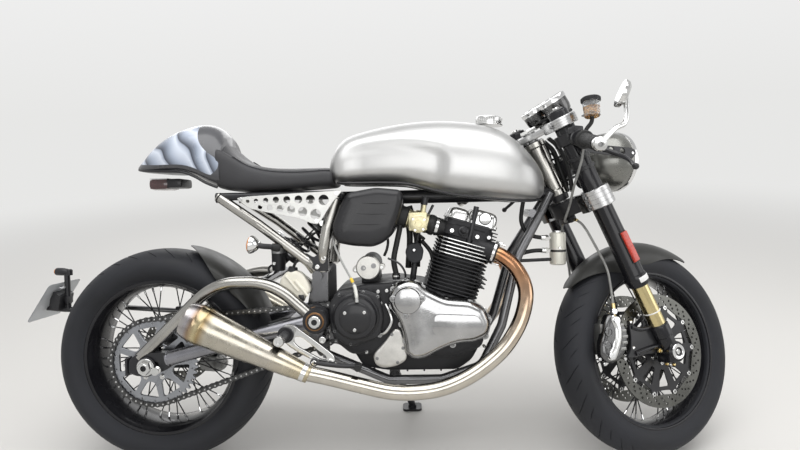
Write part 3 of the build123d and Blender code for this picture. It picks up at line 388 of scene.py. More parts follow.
# Name, colour, metallic, roughness, change of tone and its scale, grain and its scale, and bump. Where needed
# then the coat, the spread of the roughness, the grain's stretch, and spots as amount, scale and colour.
MATERIALS = [
    ("rubber", (0.020, 0.021, 0.025), 0, 0.62, 0.25, 9, 0.12, 900, 0.25),
    ("satin_black", (0.018, 0.018, 0.02), 0, 0.36, 0.2, 14, 0.06, 500, 0.06, 0.2),
    ("gloss_black", (0.010, 0.010, 0.012), 0, 0.2, 0.2, 10, 0.02, 300, 0.01, 0.15),
    ("cast_black", (0.022, 0.022, 0.024), 0.1, 0.45, 0.25, 18, 0.14, 1200, 0.3),
    ("crackle_black", (0.03, 0.031, 0.034), 0, 0.55, 0.15, 14, 0.1, 1600, 0.4),
    ("chrome", (0.72, 0.72, 0.72), 1, 0.08, 0.03, 8, 0.02, 300, 0.01, 0, 0.04),
    ("polished", (0.66, 0.66, 0.65), 1, 0.16, 0.07, 22, 0.05, 300, 0.04, 0, 0.08),
    ("cast_alloy", (0.62, 0.61, 0.58), 1, 0.42, 0.15, 30, 0.15, 900, 0.3),
    ("machined", (0.50, 0.50, 0.50), 1, 0.26, 0.06, 20, 0.08, 700, 0.08, 0, 0.12, (1, 8, 1)),
    ("grey_metal", (0.26, 0.26, 0.26), 1, 0.35, 0.12, 20, 0.1, 500, 0.1),
    ("bare_tube", (0.38, 0.37, 0.345), 1, 0.24, 0.16, 9, 0.08, 380, 0.06, 0.5, 0.12, (1, 12, 1)),
    ("dark_tube", (0.24, 0.24, 0.26), 1, 0.26, 0.2, 8, 0.08, 380, 0.06, 0.5, 0.12, (1, 12, 1)),
    ("cradle_steel", (0.14, 0.14, 0.145), 0.8, 0.28, 0.2, 9, 0.06, 380, 0.05, 0.3),
    ("chain_steel", (0.34, 0.34, 0.34), 1, 0.36, 0.2, 40, 0.15, 600, 0.15, 0, 0.12, (1, 1, 1),
     (0.05, 60, (0.20, 0.15, 0.10))),
    ("disc_steel", (0.14, 0.14, 0.13), 1, 0.3, 0.08, 20, 0.12, 500, 0.1),
    ("plate_alloy", (0.62, 0.62, 0.60), 0.85, 0.40, 0.05, 16, 0.06, 900, 0.08),
    ("seat_leather", (0.045, 0.045, 0.048), 0, 0.5, 0.18, 10, 0.15, 900, 0.35),
    ("carbon", (0.030, 0.030, 0.028), 0, 0.40, 0.2, 12, 0.1, 700, 0.08, 0.05),
    ("cream", (0.80, 0.77, 0.67), 0, 0.4, 0.06, 20, 0.04, 400, 0.04),
    ("pale_plate", (0.62, 0.64, 0.66), 0, 0.4, 0.06, 8, 0.03, 400, 0.02),
    ("copper_ring", (0.20, 0.11, 0.055), 1, 0.34, 0.3, 40, 0.1, 400, 0.1),
    ("brass", (0.70, 0.56, 0.28), 1, 0.24, 0.1, 30, 0.05, 400, 0.05),
    ("slider", (0.54, 0.45, 0.24), 1, 0.12, 0.06, 10, 0.03, 300, 0.01),
    ("hose_black", (0.02, 0.02, 0.02), 0, 0.5, 0.2, 40, 0.1, 500, 0.1),
    ("lens_red", (0.46, 0.025, 0.006), 0, 0.25, 0.1, 60, 0.1, 600, 0.2, 0.6),
    ("lens_amber", (0.72, 0.25, 0.02), 0, 0.2, 0.1, 60, 0.1, 600, 0.2, 0.6),
    ("lens_smoke", (0.05, 0.012, 0.012), 0, 0.1, 0.1, 60, 0.05, 600, 0.1, 0.8),
    ("label_white", (0.75, 0.75, 0.74), 0, 0.35, 0.04, 60, 0.02, 300, 0.01),
    ("lamp_grey", (0.20, 0.20, 0.185), 0.8, 0.32, 0.1, 10, 0.06, 900, 0.03, 0.4),
    ("mirror_glass", (0.34, 0.35, 0.37), 1, 0.02, 0, 5, 0, 100, 0),
    ("wire", (0.03, 0.03, 0.032), 0.3, 0.3, 0.2, 30, 0.05, 400, 0.02, 0.2),
    ("tank_alloy", (0.56, 0.56, 0.555), 0.95, 0.42, 0.05, 5, 0.06, 260, 0.02, 0.0, 0.03, (1, 14, 14)),
    ("caliper", (0.30, 0.30, 0.29), 0.9, 0.34, 0.12, 30, 0.15, 900, 0.25),
    ("cover_alloy", (0.40, 0.40, 0.40), 1, 0.17, 0.16, 16, 0.06, 260, 0.12),
    ("hose_grey", (0.26, 0.26, 0.25), 0.3, 0.42, 0.15, 60, 0.2, 900, 0.2),
    ("chain_dark", (0.09, 0.09, 0.09), 1, 0.36, 0.2, 40, 0.15, 600, 0.15),
    ("sprocket_alloy", (0.30, 0.31, 0.33), 1, 0.3, 0.1, 16, 0.06, 900, 0.08),
    ("can_silver", (0.66, 0.65, 0.58), 0.35, 0.36, 0.05, 16, 0.05, 500, 0.05, 0, 0.12, (1, 1, 8)),
    ("dark_chrome", (0.13, 0.13, 0.13), 1, 0.14, 0.2, 30, 0.1, 600, 0.15),
    ("zinc", (0.70, 0.64, 0.42), 0.9, 0.42, 0.15, 40, 0.15, 900, 0.3),
    ("cable_cover", (0.36, 0.36, 0.35), 0.0, 0.42, 0.1, 20, 0.04, 900, 0.06),
    ("cable_boot", (0.72, 0.72, 0.68), 0.0, 0.5, 0.1, 20, 0.04, 900, 0.06),
    ("marker_yellow", (0.8, 0.55, 0.05), 0.0, 0.4, 0.1, 20, 0.04, 900, 0.05),
]
PAINT = {row[0]: material(*row) for row in MATERIALS}
PAINT["lens_clear"] = glass("lens_clear", (0.95, 0.96, 0.97))
PAINT["fluid"] = glass("fluid", (0.80, 0.42, 0.12), 0.05, 0.7)


def cowl_finish():
    """Airbrushed bands of blue-grey on the hump, with a plain dark rim outside the painted panel."""
    paint = material("cowl_paint", (0.05, 0.052, 0.06), 0, 0.34, 0.1, 12, 0.03, 400, 0.02, 0.4)
    nodes, links = paint.node_tree.nodes, paint.node_tree.links
    shader = nodes["Principled BSDF"]
    where = nodes.new("ShaderNodeTexCoord").outputs["Object"]
    tilt = nodes.new("ShaderNodeMapping")
    tilt.inputs["Rotation"].default_value = (0, radians(38), radians(12))
    links.new(where, tilt.inputs["Vector"])
    wave = nodes.new("ShaderNodeTexWave")
    wave.wave_profile = "SAW"
    wave.bands_direction = "X"
    for socket, value in (("Scale", 5.2), ("Distortion", 5.5), ("Detail", 1.0), ("Detail Scale", 1.4)):
        wave.inputs[socket].default_value = value
    links.new(tilt.outputs["Vector"], wave.inputs["Vector"])
    stops = [(0.0, (0.035, 0.04, 0.055)), (0.12, (0.12, 0.14, 0.18)), (0.45, (0.36, 0.41, 0.50)),
        (0.8, (0.62, 0.67, 0.76)), (0.95, (0.30, 0.34, 0.42)), (1.0, (0.035, 0.04, 0.055))]
    bands = ramp_colour(nodes, links, wave.outputs["Fac"], stops)
    panel = nodes.new("ShaderNodeAttribute")
    panel.attribute_name = "panel"
    inside = remap(nodes, links, panel.outputs["Fac"], -0.4, 0.6, 0, 1)
    links.new(mix_colour(nodes, links, inside, (0.055, 0.056, 0.062), bands), shader.inputs["Base Color"])
    return paint


PAINT["cowl_paint"] = cowl_finish()
# Dark paints and rubbers shine less than plastic would
DARK_PAINTS = ("gloss_black", "rubber", "satin_black", "cast_black", "crackle_black", "carbon",
    "seat_leather", "hose_black", "wire")
for dark in DARK_PAINTS:
    PAINT[dark].node_tree.nodes["Principled BSDF"].inputs["Specular IOR Level"].default_value = 0.28


# Mesh tools

class Shape:
    """Gathers one piece's mesh. Faces carry the material that is set when they are added."""

    def __init__(self, paint):
        self.verts = []
        self.faces = []
        self.face_paints = []
        self.paints = [paint]
        self.current = 0
        self.marks = {}

    def use(self, paint):
        if paint not in self.paints:
            self.paints.append(paint)
        self.current = self.paints.index(paint)
        return self

    def add(self, verts, faces):
        first = len(self.verts)
        self.verts += [Vector(v) for v in verts]
        self.faces += [[first + i for i in face] for face in faces]
        self.face_paints += [self.current] * len(faces)

    def skin(self, rings, loop=False, caps=True):
        """A skin through rings of equally many points."""
        size, count = len(rings[0]), len(rings)
        faces = []
        for i in range(count if loop else count - 1):
            a, b = i * size, (i + 1) % count * size
            for j in range(size):
                k = (j + 1) % size
                faces.append((a + j, a + k, b + k, b + j))
        if caps and not loop:
            faces.append(list(range(size))[::-1])
            faces.append([(count - 1) * size + j for j in range(size)])
        self.add([p for ring in rings for p in ring], faces)

    def tube(self, path, radius, sides=16, loop=False):
        """A round tube along points; radius is a number, or one for each point."""
        path = [Vector(p) for p in path]
        radii = radius if isinstance(radius, (list, tuple)) else [radius] * len(path)
        rings = []
        across = None
        for i, point in enumerate(path):
            if loop:
                run = path[(i + 1) % len(path)] - path[i - 1]
            else:
                run = path[min(i + 1, len(path) - 1)] - path[max(i - 1, 0)]
            run.normalize()
            if across is None:
                across = run.orthogonal()
            across = (across - run * across.dot(run)).normalized()
            over = run.cross(across)
            rings.append([point + (across * cos(2 * pi * j / sides) +
                over * sin(2 * pi * j / sides)) * radii[i] for j in range(sides)])
        self.skin(rings, loop)

    def turned(self, start, direction, profile, sides=48):
        """A round piece about a line, from points (distance along it, radius)."""
        start, direction = Vector(start), Vector(direction).normalized()
        across = direction.orthogonal().normalized()
        over = direction.cross(across)
        rings = []
        for along, radius in profile:
            centre = start + direction * along
            rings.append([centre + (across * cos(2 * pi * j / sides) +
                over * sin(2 * pi * j / sides)) * max(radius, 0.01) for j in range(sides)])
        self.skin(rings)

    def rod(self, start, end, radius, sides=20, edge=0.6):
        """A round bar with softened ends."""
        run = Vector(end) - Vector(start)
        self.turned(start, run, [(0, radius - edge), (edge, radius), (run.length - edge, radius),
            (run.length, radius - edge)], sides)

    def wheel_ring(self, axle, profile, sides=96):
        """A ring round a wheel's axle, from a closed outline of points (Y from its middle, radius)."""
        rings = []
        for i in range(sides):
            rings.append([wheel_point(axle, radius, 2 * pi * i / sides, y) for y, radius in profile])
        self.skin(rings, loop=True)

    def shell(self, outside, inside):
        """A thin open shell between two grids of points, closed round its edge."""
        rows, size = len(outside), len(outside[0])
        half = rows * size
        faces = []
        for i in range(rows - 1):
            for j in range(size - 1):
                a = i * size + j
                faces.append((a, a + 1, a + size + 1, a + size))
                faces.append((half + a, half + a + size, half + a + size + 1, half + a + 1))
        for i in range(rows - 1):
            for j in (0, size - 1):
                a = i * size + j
                faces.append((a, a + size, half + a + size, half + a))
        for j in range(size - 1):
            for i in (0, rows - 1):
                a = i * size + j
                faces.append((a, a + 1, half + a + 1, half + a))
        self.add([p for grid in (outside, inside) for line in grid for p in line], faces)

    def flat(self, outlines, y, depth, edge=0.8, at=None):
        """A plate in side view from closed outlines of (x, z), the first solid and the others holes.

        It runs from Y = y to the right by depth. With at, a matrix, it lies in that plane instead."""
        curve = bpy.data.curves.new("flat", "CURVE")
        curve.dimensions = "2D"
        curve.fill_mode = "BOTH"
        curve.extrude = depth / 2 - edge
        curve.bevel_depth = edge
        curve.offset = -edge
        curve.bevel_resolution = 1
        for outline in outlines:
            loop = curve.splines.new("POLY")
            loop.points.add(len(outline) - 1)
            for point, (x, z) in zip(loop.points, outline):
                point.co = (x, z, 0, 1)
            loop.use_cyclic_u = True
        holder = bpy.data.objects.new("flat", curve)
        mesh = bpy.data.meshes.new_from_object(holder)
        if at is None:
            at = Matrix(((1, 0, 0, 0), (0, 0, -1, y - depth / 2), (0, 1, 0, 0), (0, 0, 0, 1)))
        self.add([at @ v.co for v in mesh.vertices], [list(p.vertices) for p in mesh.polygons])
        bpy.data.objects.remove(holder)
        bpy.data.curves.remove(curve)
        bpy.data.meshes.remove(mesh)

    def box(self, centre, size, edge=1.0, turn=None):
        """A block with cut edges."""
        half = [s / 2 for s in size]
        turn = turn or Matrix.Identity(3)
        mesh = bmesh.new()
        bmesh.ops.create_cube(mesh, size=2)
        for v in mesh.verts:
            v.co = Vector([v.co[i] * half[i] for i in range(3)])
        bmesh.ops.bevel(mesh, geom=mesh.edges[:], offset=edge, segments=2, profile=0.6, affect="EDGES")
        mesh.verts.index_update()
        self.add([Vector(centre) + turn @ v.co for v in mesh.verts],
            [[v.index for v in f.verts] for f in mesh.faces])
        mesh.free()

    def bolt(self, at, direction, radius=5, height=4, kind="cap"):
        """A screw head seen from outside: a cap with a socket, a hexagon, or a dome."""
        if kind == "hex":
            self.turned(at, direction, [(0, radius), (height * 0.8, radius), (height, radius * 0.85)], 6)
            self.turned(Vector(at) + Vector(direction).normalized() * height * 0.9, direction,
                [(0, radius * 0.5), (height * 0.7, radius * 0.5)], 12)
        elif kind == "dome":
            self.turned(at, direction, [(0, radius), (height * 0.5, radius * 0.85),
                (height * 0.85, radius * 0.5), (height, 0.1)], 20)
        else:
            self.turned(at, direction, [(0, radius), (height * 0.85, radius), (height, radius * 0.88),
                (height, radius * 0.55), (height * 0.45, radius * 0.5), (height * 0.45, 0.1)], 18)

    def screws(self, paint, spots, y, side, radius, height):
        """Cap screws at (x, z) spots in the plane Y = y, with their heads to that side."""
        for x, z in spots:
            self.use(paint).bolt((x, y, z), (0, side, 0), radius, height)

    def piece(self, name, body, place=None, smooth=40, replaces=()):
        """The finished object, riding on its body."""
        mesh = bpy.data.meshes.new(name)
        mesh.from_pydata([(place or BIKE) @ v for v in self.verts], [], self.faces)
        mesh.update()
        for paint in self.paints:
            mesh.materials.append(PAINT[paint])
        mesh.polygons.foreach_set("material_index", self.face_paints)
        tidy = bmesh.new()
        tidy.from_mesh(mesh)
        bmesh.ops.recalc_face_normals(tidy, faces=tidy.faces[:])
        tidy.to_mesh(mesh)
        tidy.free()
        for mark, values in self.marks.items():
            mesh.attributes.new(mark, "FLOAT", "POINT").data.foreach_set("value", values)
        mesh.shade_smooth()
        mesh.set_sharp_from_angle(angle=radians(smooth))
        made = bpy.data.objects.new(name, mesh)
        bpy.context.scene.collection.objects.link(made)
        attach(made, body)
        if replaces:
            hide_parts(*replaces)
        return made


def bent(points, bend, step=6.0):
    """Points along straight runs joined by arcs, close enough for a tube."""
    points = [Vector(p) for p in points]
    path = [points[0]]
    for before, corner, after in zip(points, points[1:], points[2:]):
        back, ahead = (before - corner).normalized(), (after - corner).normalized()
        half = back.angle(ahead) / 2
        reach = bend / tan(half)
        start, end = corner + back * reach, corner + ahead * reach
        centre = corner + (back + ahead).normalized() * (bend / sin(half))
        swing = pi - 2 * half
        count = max(2, int(swing * bend / step))
        a, b = start - centre, end - centre
        for i in range(count + 1):
            share = i / count
            path.append(centre + (a * sin((1 - share) * swing) + b * sin(share * swing)) / sin(swing))
    path.append(points[-1])
    return path


def spline(points, per_run=8):
    """A smooth line through points."""
    points = [Vector(p) for p in points]
    points = [points[0] * 2 - points[1], *points, points[-1] * 2 - points[-2]]
    path = []
    for a, b, c, d in zip(points, points[1:], points[2:], points[3:]):
        for i in range(per_run):
            t = i / per_run
            path.append(0.5 * (2 * b + (c - a) * t + (2 * a - 5 * b + 4 * c - d) * t**2 +
                (3 * b - a - 3 * c + d) * t**3))
    path.append(points[-2])
    return path


def around(centre, radius, angle):
    """Point (x, z) at an angle on a circle."""
    return centre[0] + radius * cos(angle), centre[1] + radius * sin(angle)


def wheel_point(axle, radius, angle, y=0.0):
    """Point at an angle round a line that runs across the bike."""
    return axle + Vector((radius * cos(angle), y, radius * sin(angle)))


def ring_points(centre, radius, count=24):
    """A circle of (x, z) points."""
    return [around(centre, radius, 2 * pi * i / count) for i in range(count)]


def softened(outline, corner, steps=5):
    """A closed (x, z) outline with its corners rounded."""
    soft = []
    count = len(outline)
    for i in range(count):
        before, here, after = (Vector(outline[k % count]) for k in (i - 1, i, i + 1))
        reach = min(corner, (before - here).length * 0.45, (after - here).length * 0.45)
        a = here + (before - here).normalized() * reach
        b = here + (after - here).normalized() * reach
        for k in range(steps + 1):
            t = k / steps
            soft.append(tuple(a * (1 - t) ** 2 + here * 2 * t * (1 - t) + b * t**2))
    return soft


make_camera()
make_studio()

# Finishes of the model's own pieces that keep their shape
NODE_PAINTS = {
    "satin_black": ["frame_spine", "stand_bracket", "side_stand"],
    "cradle_steel": ["frame_cradles"],
    "bare_tube": ["rear_frame", "head_tube"],
    "dark_tube": ["swingarm"],
}
for paint_name, node_names in NODE_PAINTS.items():
    for node_name in node_names:
        if node_name in frame["nodes"]:
            frame["nodes"][node_name].data.materials.clear()
            frame["nodes"][node_name].data.materials.append(PAINT[paint_name])

# Wheels

def make_tyre(name, axle, half, side_r, crown_r, pitches, slant, groove_at, body, place):
    """A tyre with slanted grooves. Its columns follow the grooves, so their edges stay crisp."""
    crown, wall = 15, [(0.985, -9), (0.93, -20), (0.80, -32), (0.735, -40), (0.66, -42)]
    section = [(-half * share, side_r + drop) for share, drop in reversed(wall)]
    for i in range(-crown, crown + 1):
        angle = pi / 2 * i / crown
        section.append((half * sin(angle), side_r + (crown_r - side_r) * cos(angle)))
    section += [(half * share, side_r + drop) for share, drop in wall]
    start, end = groove_at
    # Columns of one pitch: place in the pitch, groove depth on the left side, on the right side
    columns = [(0.0, 0, 0), (0.10, 0, 0), (0.125, GROOVE, 0), (0.185, GROOVE, 0), (0.21, 0, 0), (0.33, 0, 0),
        (0.47, 0, 0), (0.60, 0, 0), (0.625, 0, GROOVE), (0.685, 0, GROOVE), (0.71, 0, 0), (0.85, 0, 0)]
    rings = []
    for pitch in range(pitches):
        for share, left_depth, right_depth in columns:
            ring = []
            for y, radius in section:
                out = min(1, abs(y) / half)
                depth = left_depth if y > 0 else right_depth
                if radius < side_r or not start < out < end:
                    depth = 0
                # Every other groove is shorter
                if pitch % 2 and out < (start + end) / 2:
                    depth = 0
                turn = 2 * pi * (pitch + share) / pitches - slant * out**1.6
                ring.append(wheel_point(axle, radius - depth, turn, y))
            rings.append(ring)
    tyre = Shape("rubber")
    size = len(section)
    faces = []
    for i in range(len(rings)):
        a, b = i * size, (i + 1) % len(rings) * size
        faces += [(a + j, a + j + 1, b + j + 1, b + j) for j in range(size - 1)]
        faces.append((a + size - 1, a, b, b + size - 1))
    tyre.add([p for ring in rings for p in ring], faces)
    tyre.piece(name + "_tread", body, place, 34, [name])


def make_wire_wheel(name, axle, half, hub_half, flange_r, barrel_r, body, place):
    """Rim, hub and laced spokes with their nipples."""
    wheel = Shape("gloss_black")
    edge = half + 3
    wheel.wheel_ring(axle, [(-edge, 228), (-edge - 1.5, 224), (-edge, 218), (-half + 7, 213),
        (-half + 16, 206), (-12, 202), (12, 202), (half - 16, 206), (half - 7, 213), (edge, 218),
        (edge + 1.5, 224), (edge, 228), (half - 3, 220), (half - 14, 211), (0, 206),
        (-half + 14, 211), (-half + 3, 220)])
    wheel.use("satin_black")
    wheel.turned(axle - Vector((0, hub_half + 6, 0)), (0, 1, 0), [
        (0, 14), (0, barrel_r + 2), (3, flange_r + 2), (4, flange_r + 5), (9, flange_r + 5), (11, flange_r),
        (16, barrel_r + 4), (24, barrel_r), (2 * hub_half - 12, barrel_r), (2 * hub_half - 4, barrel_r + 4),
        (2 * hub_half + 1, flange_r), (2 * hub_half + 3, flange_r + 5), (2 * hub_half + 8, flange_r + 5),
        (2 * hub_half + 9, flange_r + 2), (2 * hub_half + 12, barrel_r + 2), (2 * hub_half + 12, 14)], 48)
    for side in (-1, 1):
        for slant in (-1, 1):
            for i in range(SPOKES_A_ROW):
                hub_angle = 2 * pi / SPOKES_A_ROW * (i + 0.25 * side)
                rim_angle = hub_angle + radians(slant * 40)
                hub_y = side * (hub_half + 3 * slant)
                start = wheel_point(axle, flange_r, hub_angle, hub_y)
                end = wheel_point(axle, SPOKE_RIM_R, rim_angle, side * 9)
                run = (end - start).normalized()
                wheel.use("wire").tube([start, end], 1.8, 8)
                wheel.use("chrome").tube([end - run * 16, end - run * 2], 3.1, 8)
                head = start + Vector((0, side * slant * 2.4, 0))
                wheel.use("wire").bolt(head, (0, side * slant, 0), 3.2, 1.8, "dome")
    wheel.piece(name + "_laced", body, place, 35, [name])


def disc_holes(centre, rows, count):
    """Drilled holes of a brake disc, in rows of (radius of the row, hole radius, turn)."""
    holes = []
    for row_r, hole_r, turn in rows:
        for i in range(count):
            angle = 2 * pi * (i + turn) / count
            holes.append(ring_points(around(centre, row_r, angle), hole_r, 10))
    return holes


def make_disc(shape, axle, y, outer, inner, carrier_r, hub_r, arms, rows, holes, thick=4.6):
    """A floating disc on an open carrier with its bobbins. It lies in the plane Y = y, towards the right."""
    centre = (axle.x, axle.z)
    # A wavy inside edge gives room for the bobbins
    inside = [around(centre, inner + 2.5 * cos(arms * a), a) for a in (2 * pi * i / 120 for i in range(120))]
    shape.use("disc_steel").flat([ring_points(centre, outer, 120), inside,
        *disc_holes(centre, rows, holes)], y, thick, 0.5)
    ring = []
    for i in range(arms):
        for turn, radius in ((-0.42, carrier_r), (-0.16, carrier_r + 4), (-0.11, inner + 4),
                (0.11, inner + 4), (0.16, carrier_r + 4), (0.42, carrier_r)):
            ring.append(around(centre, radius, 2 * pi * (i + turn) / arms))
    windows = []
    for i in range(arms):
        middle = 2 * pi * (i + 0.5) / arms
        spread = 0.30 * 2 * pi / arms
        low_r, high_r = hub_r + 10, carrier_r - 9
        corners = ((low_r, -spread * 0.7), (high_r, -spread), (high_r, spread), (low_r, spread * 0.7))
        windows.append(softened([around(centre, r, middle + t) for r, t in corners], 6, 3))
    shape.use("satin_black").flat([ring, ring_points(centre, hub_r - 16, 40), *windows],
        y - 0.2, thick - 0.6, 0.6)
    for i in range(arms):
        x, z = around(centre, inner - 1, 2 * pi * i / arms)
        shape.use("polished").turned((x, y + 0.8, z), (0, -1, 0), [(0, 5.5), (0.5, 6.5), (thick + 1.0, 6.5),
            (thick + 1.6, 5.5), (thick + 1.6, 3), (thick, 2.5)], 16)
    for i in range(6):
        x, z = around(centre, hub_r - 8, 2 * pi * (i + 0.5) / 6)
        for side in (-1, 1):
            start = y + 0.2 if side > 0 else y - thick - 0.2
            shape.use("polished").bolt((x, start, z), (0, side, 0), 5, 3.5)


make_tyre("front_tyre", FRONT_AXLE, 60, 252, 300, 42, 0.24, (0.16, 0.86), "front_wheel", FORK)
make_tyre("rear_tyre", REAR_AXLE, 88, 262, 315, 34, 0.30, (0.10, 0.80), "rear_wheel", BIKE)
make_wire_wheel("front_wire_wheel", FRONT_AXLE, 46, 44, 33, 21, "front_wheel", FORK)
make_wire_wheel("rear_wire_wheel", REAR_AXLE, 66, 48, 36, 25, "rear_wheel", BIKE)

front_discs = Shape("disc_steel")
for disc_y in (-61.2, 65.8):
    make_disc(front_discs, FRONT_AXLE, disc_y, 160, 126, 112, 44, 10,
        [(133, 3.4, 0.0), (141, 3.4, 0.33), (149, 3.4, 0.66)], 30)
front_discs.piece("front_discs_drilled", "front_wheel", FORK, 30, ["front_discs"])

rear_disc = Shape("disc_steel")
make_disc(rear_disc, REAR_AXLE, 60.8, 110, 78, 66, 42, 6,
    [(86, 3.2, 0), (94, 3.2, 0.33), (102, 3.2, 0.66)], 24)
rear_disc.piece("rear_disc_drilled", "rear_wheel", BIKE, 30, ["rear_disc"])

# Chain and sprocket

REAR_PITCH_R = CHAIN_PITCH / (2 * sin(pi / REAR_TEETH))
FRONT_PITCH_R = CHAIN_PITCH / (2 * sin(pi / FRONT_TEETH))


def chain_layout():
    """Distance between the sprockets for a whole number of links, tilt, and length of a straight run."""
    distance = 570.0
    for _ in range(20):
        tilt = asin((REAR_PITCH_R - FRONT_PITCH_R) / distance)
        run = sqrt(distance**2 - (REAR_PITCH_R - FRONT_PITCH_R) ** 2)
        links = (0.5 + tilt / pi) * REAR_TEETH + (0.5 - tilt / pi) * FRONT_TEETH + 2 * run / CHAIN_PITCH
        distance += (CHAIN_LINKS - links) * CHAIN_PITCH / 2
    return distance, tilt, run


SPROCKET_DISTANCE, CHAIN_TILT, CHAIN_RUN = chain_layout()
CENTRE_RISE = asin((FRONT_SPROCKET_Z - REAR_R) / SPROCKET_DISTANCE)
FRONT_SPROCKET_X = SPROCKET_DISTANCE * cos(CENTRE_RISE)


def chain_point(link):
    """Centre of one roller as (x, z)."""
    rear_wrap = (0.5 + CHAIN_TILT / pi) * REAR_TEETH
    run_links = CHAIN_RUN / CHAIN_PITCH
    front_wrap = CHAIN_LINKS - rear_wrap - 2 * run_links
    lower, upper = CENTRE_RISE - pi / 2 + CHAIN_TILT, CENTRE_RISE + pi / 2 - CHAIN_TILT
    rear, front = Vector((0, REAR_R)), Vector((FRONT_SPROCKET_X, FRONT_SPROCKET_Z))

    def outward(angle, radius):
        return Vector((cos(angle), sin(angle))) * radius

    if link < rear_wrap:
        return rear + outward(upper + link * 2 * pi / REAR_TEETH, REAR_PITCH_R)
    link -= rear_wrap
    if link < run_links:
        return (rear + outward(lower, REAR_PITCH_R)).lerp(front +
            outward(lower, FRONT_PITCH_R), link / run_links)
    link -= run_links
    if link < front_wrap:
        return front + outward(lower + link * 2 * pi / FRONT_TEETH, FRONT_PITCH_R)
    link -= front_wrap
    return (front + outward(upper, FRONT_PITCH_R)).lerp(rear + outward(upper, REAR_PITCH_R), link / run_links)


def make_chain():
    """Every link has two waisted side plates, and every joint a roller and a riveted pin."""
    chain = Shape("chain_steel")
    for i in range(CHAIN_LINKS):
        here, there = chain_point(i), chain_point((i + 1) % CHAIN_LINKS)
        run = (there - here).normalized()
        rise = Vector((-run.y, run.x))
        outline = []
        for centre, sign in ((here, -1), (there, 1)):
            for k in range(7):
                swing = pi / 2 * (-1 + 2 * k / 6) + (pi if sign < 0 else 0)
                outline.append(centre + (run * cos(swing) + rise * sin(swing)) * PLATE_END_R)
            middle = (here + there) / 2
            outline.append(middle + rise * sign * PLATE_WAIST)
        # Outer and inner plates take turns
        inside, thick = ((6.9, 1.9), (4.85, 1.9))[i % 2]
        for side in (-1, 1):
            near, far = CHAIN_Y + side * inside, CHAIN_Y + side * (inside + thick)
            loops = [[Vector((p.x, y, p.y)) for p in outline] for y in (near, far)]
            chain.use("chain_dark").skin(loops)
        chain.use("chain_steel").rod((here.x, CHAIN_Y - 4.7, here.y),
            (here.x, CHAIN_Y + 4.7, here.y), ROLLER_R, 12, 0.3)
        chain.use("machined").rod((here.x, CHAIN_Y - 10, here.y),
            (here.x, CHAIN_Y + 10, here.y), PIN_R, 10, 0.5)
    chain.piece("chain_links", "chassis", BIKE, 30, ["chain"])


make_chain()


def make_sprocket():
    """Rear sprocket with cut arms, lightening holes, carrier and nuts."""
    centre = (0, REAR_R)
    first = CENTRE_RISE + pi / 2 - CHAIN_TILT
    rim = []
    for i in range(REAR_TEETH):
        for turn, height in ((-3.3, 4.6), (-2.3, 0.5), (-1.6, -4.2), (0, -5.5), (1.6, -4.2),
                (2.3, 0.5), (3.3, 4.6)):
            angle = first + i * 2 * pi / REAR_TEETH + radians(turn)
            rim.append(around(centre, REAR_PITCH_R + height, angle))
    arms = 9
    windows = []
    for i in range(arms):
        middle = 2 * pi * (i + 0.5) / arms
        corners = ((58, -0.19), (103, -0.285), (103, 0.285), (58, 0.19))
        windows.append(softened([around(centre, r, middle + t) for r, t in corners], 9, 4))
    holes = []
    for i in range(18):
        holes.append(ring_points(around(centre, 110, 2 * pi * (i + 0.5) / 18), 2.6, 10))
    sprocket = Shape("sprocket_alloy")
    sprocket.flat([rim, ring_points(centre, 30, 40), *windows, *holes], CHAIN_Y + 4, 8, 0.8)
    sprocket.use("satin_black").turned((0, CHAIN_Y + 3.5, REAR_R), (0, 1, 0),
        [(0, 20), (0, 47), (3, 48), (40, 45), (47, 42), (47, 20)], 48)
    for i in range(6):
        x, z = around(centre, 47, 2 * pi * i / 6)
        sprocket.use("polished").bolt((x, CHAIN_Y - 4, z), (0, -1, 0), 8, 5, "hex")
    sprocket.piece("sprocket_arms", "rear_wheel", BIKE, 30, ["rear_sprocket"])


make_sprocket()

# Tank, seat, cowl and side plates

def eased(table, x):
    """Values of a table at x, on a smooth line through its rows."""
    last = len(table) - 1
    i = max(k for k in range(last) if table[k][0] <= x or k == 0)
    rows = [table[max(0, min(last, k))] for k in (i - 1, i, i + 1, i + 2)]
    span = rows[2][0] - rows[1][0]
    t = min(1, max(0, (x - rows[1][0]) / span))
    values = []
    for a, b, c, d in zip(*[row[1:] for row in rows]):
        before = (c - a) / (rows[2][0] - rows[0][0]) * span if rows[2][0] != rows[0][0] else c - b
        after = (d - b) / (rows[3][0] - rows[1][0]) * span if rows[3][0] != rows[1][0] else c - b
        values.append((2 * t**3 - 3 * t**2 + 1) * b + (t**3 - 2 * t**2 + t) * before +
            (3 * t**2 - 2 * t**3) * c + (t**3 - t**2) * after)
    return values


def smooth_step(low, high, value):
    """0 below low, 1 above high, and a soft rise between them."""
    t = min(1, max(0, (value - low) / (high - low)))
    return t * t * (3 - 2 * t)


def egg_ring(x, bottom, top, half, middle, upper, lower, count=72):
    """An oval across the bike whose widest height is middle; upper and lower set how square it is."""
    ring = []
    for i in range(count):
        angle = 2 * pi * i / count
        c, s = cos(angle), sin(angle)
        power = upper if s >= 0 else lower
        reach = top - middle if s >= 0 else middle - bottom
        y = half * (1 if c >= 0 else -1) * abs(c) ** (2 / power)
        ring.append(Vector((x, y, middle + reach * (1 if s >= 0 else -1) * abs(s) ** (2 / power))))
    return ring


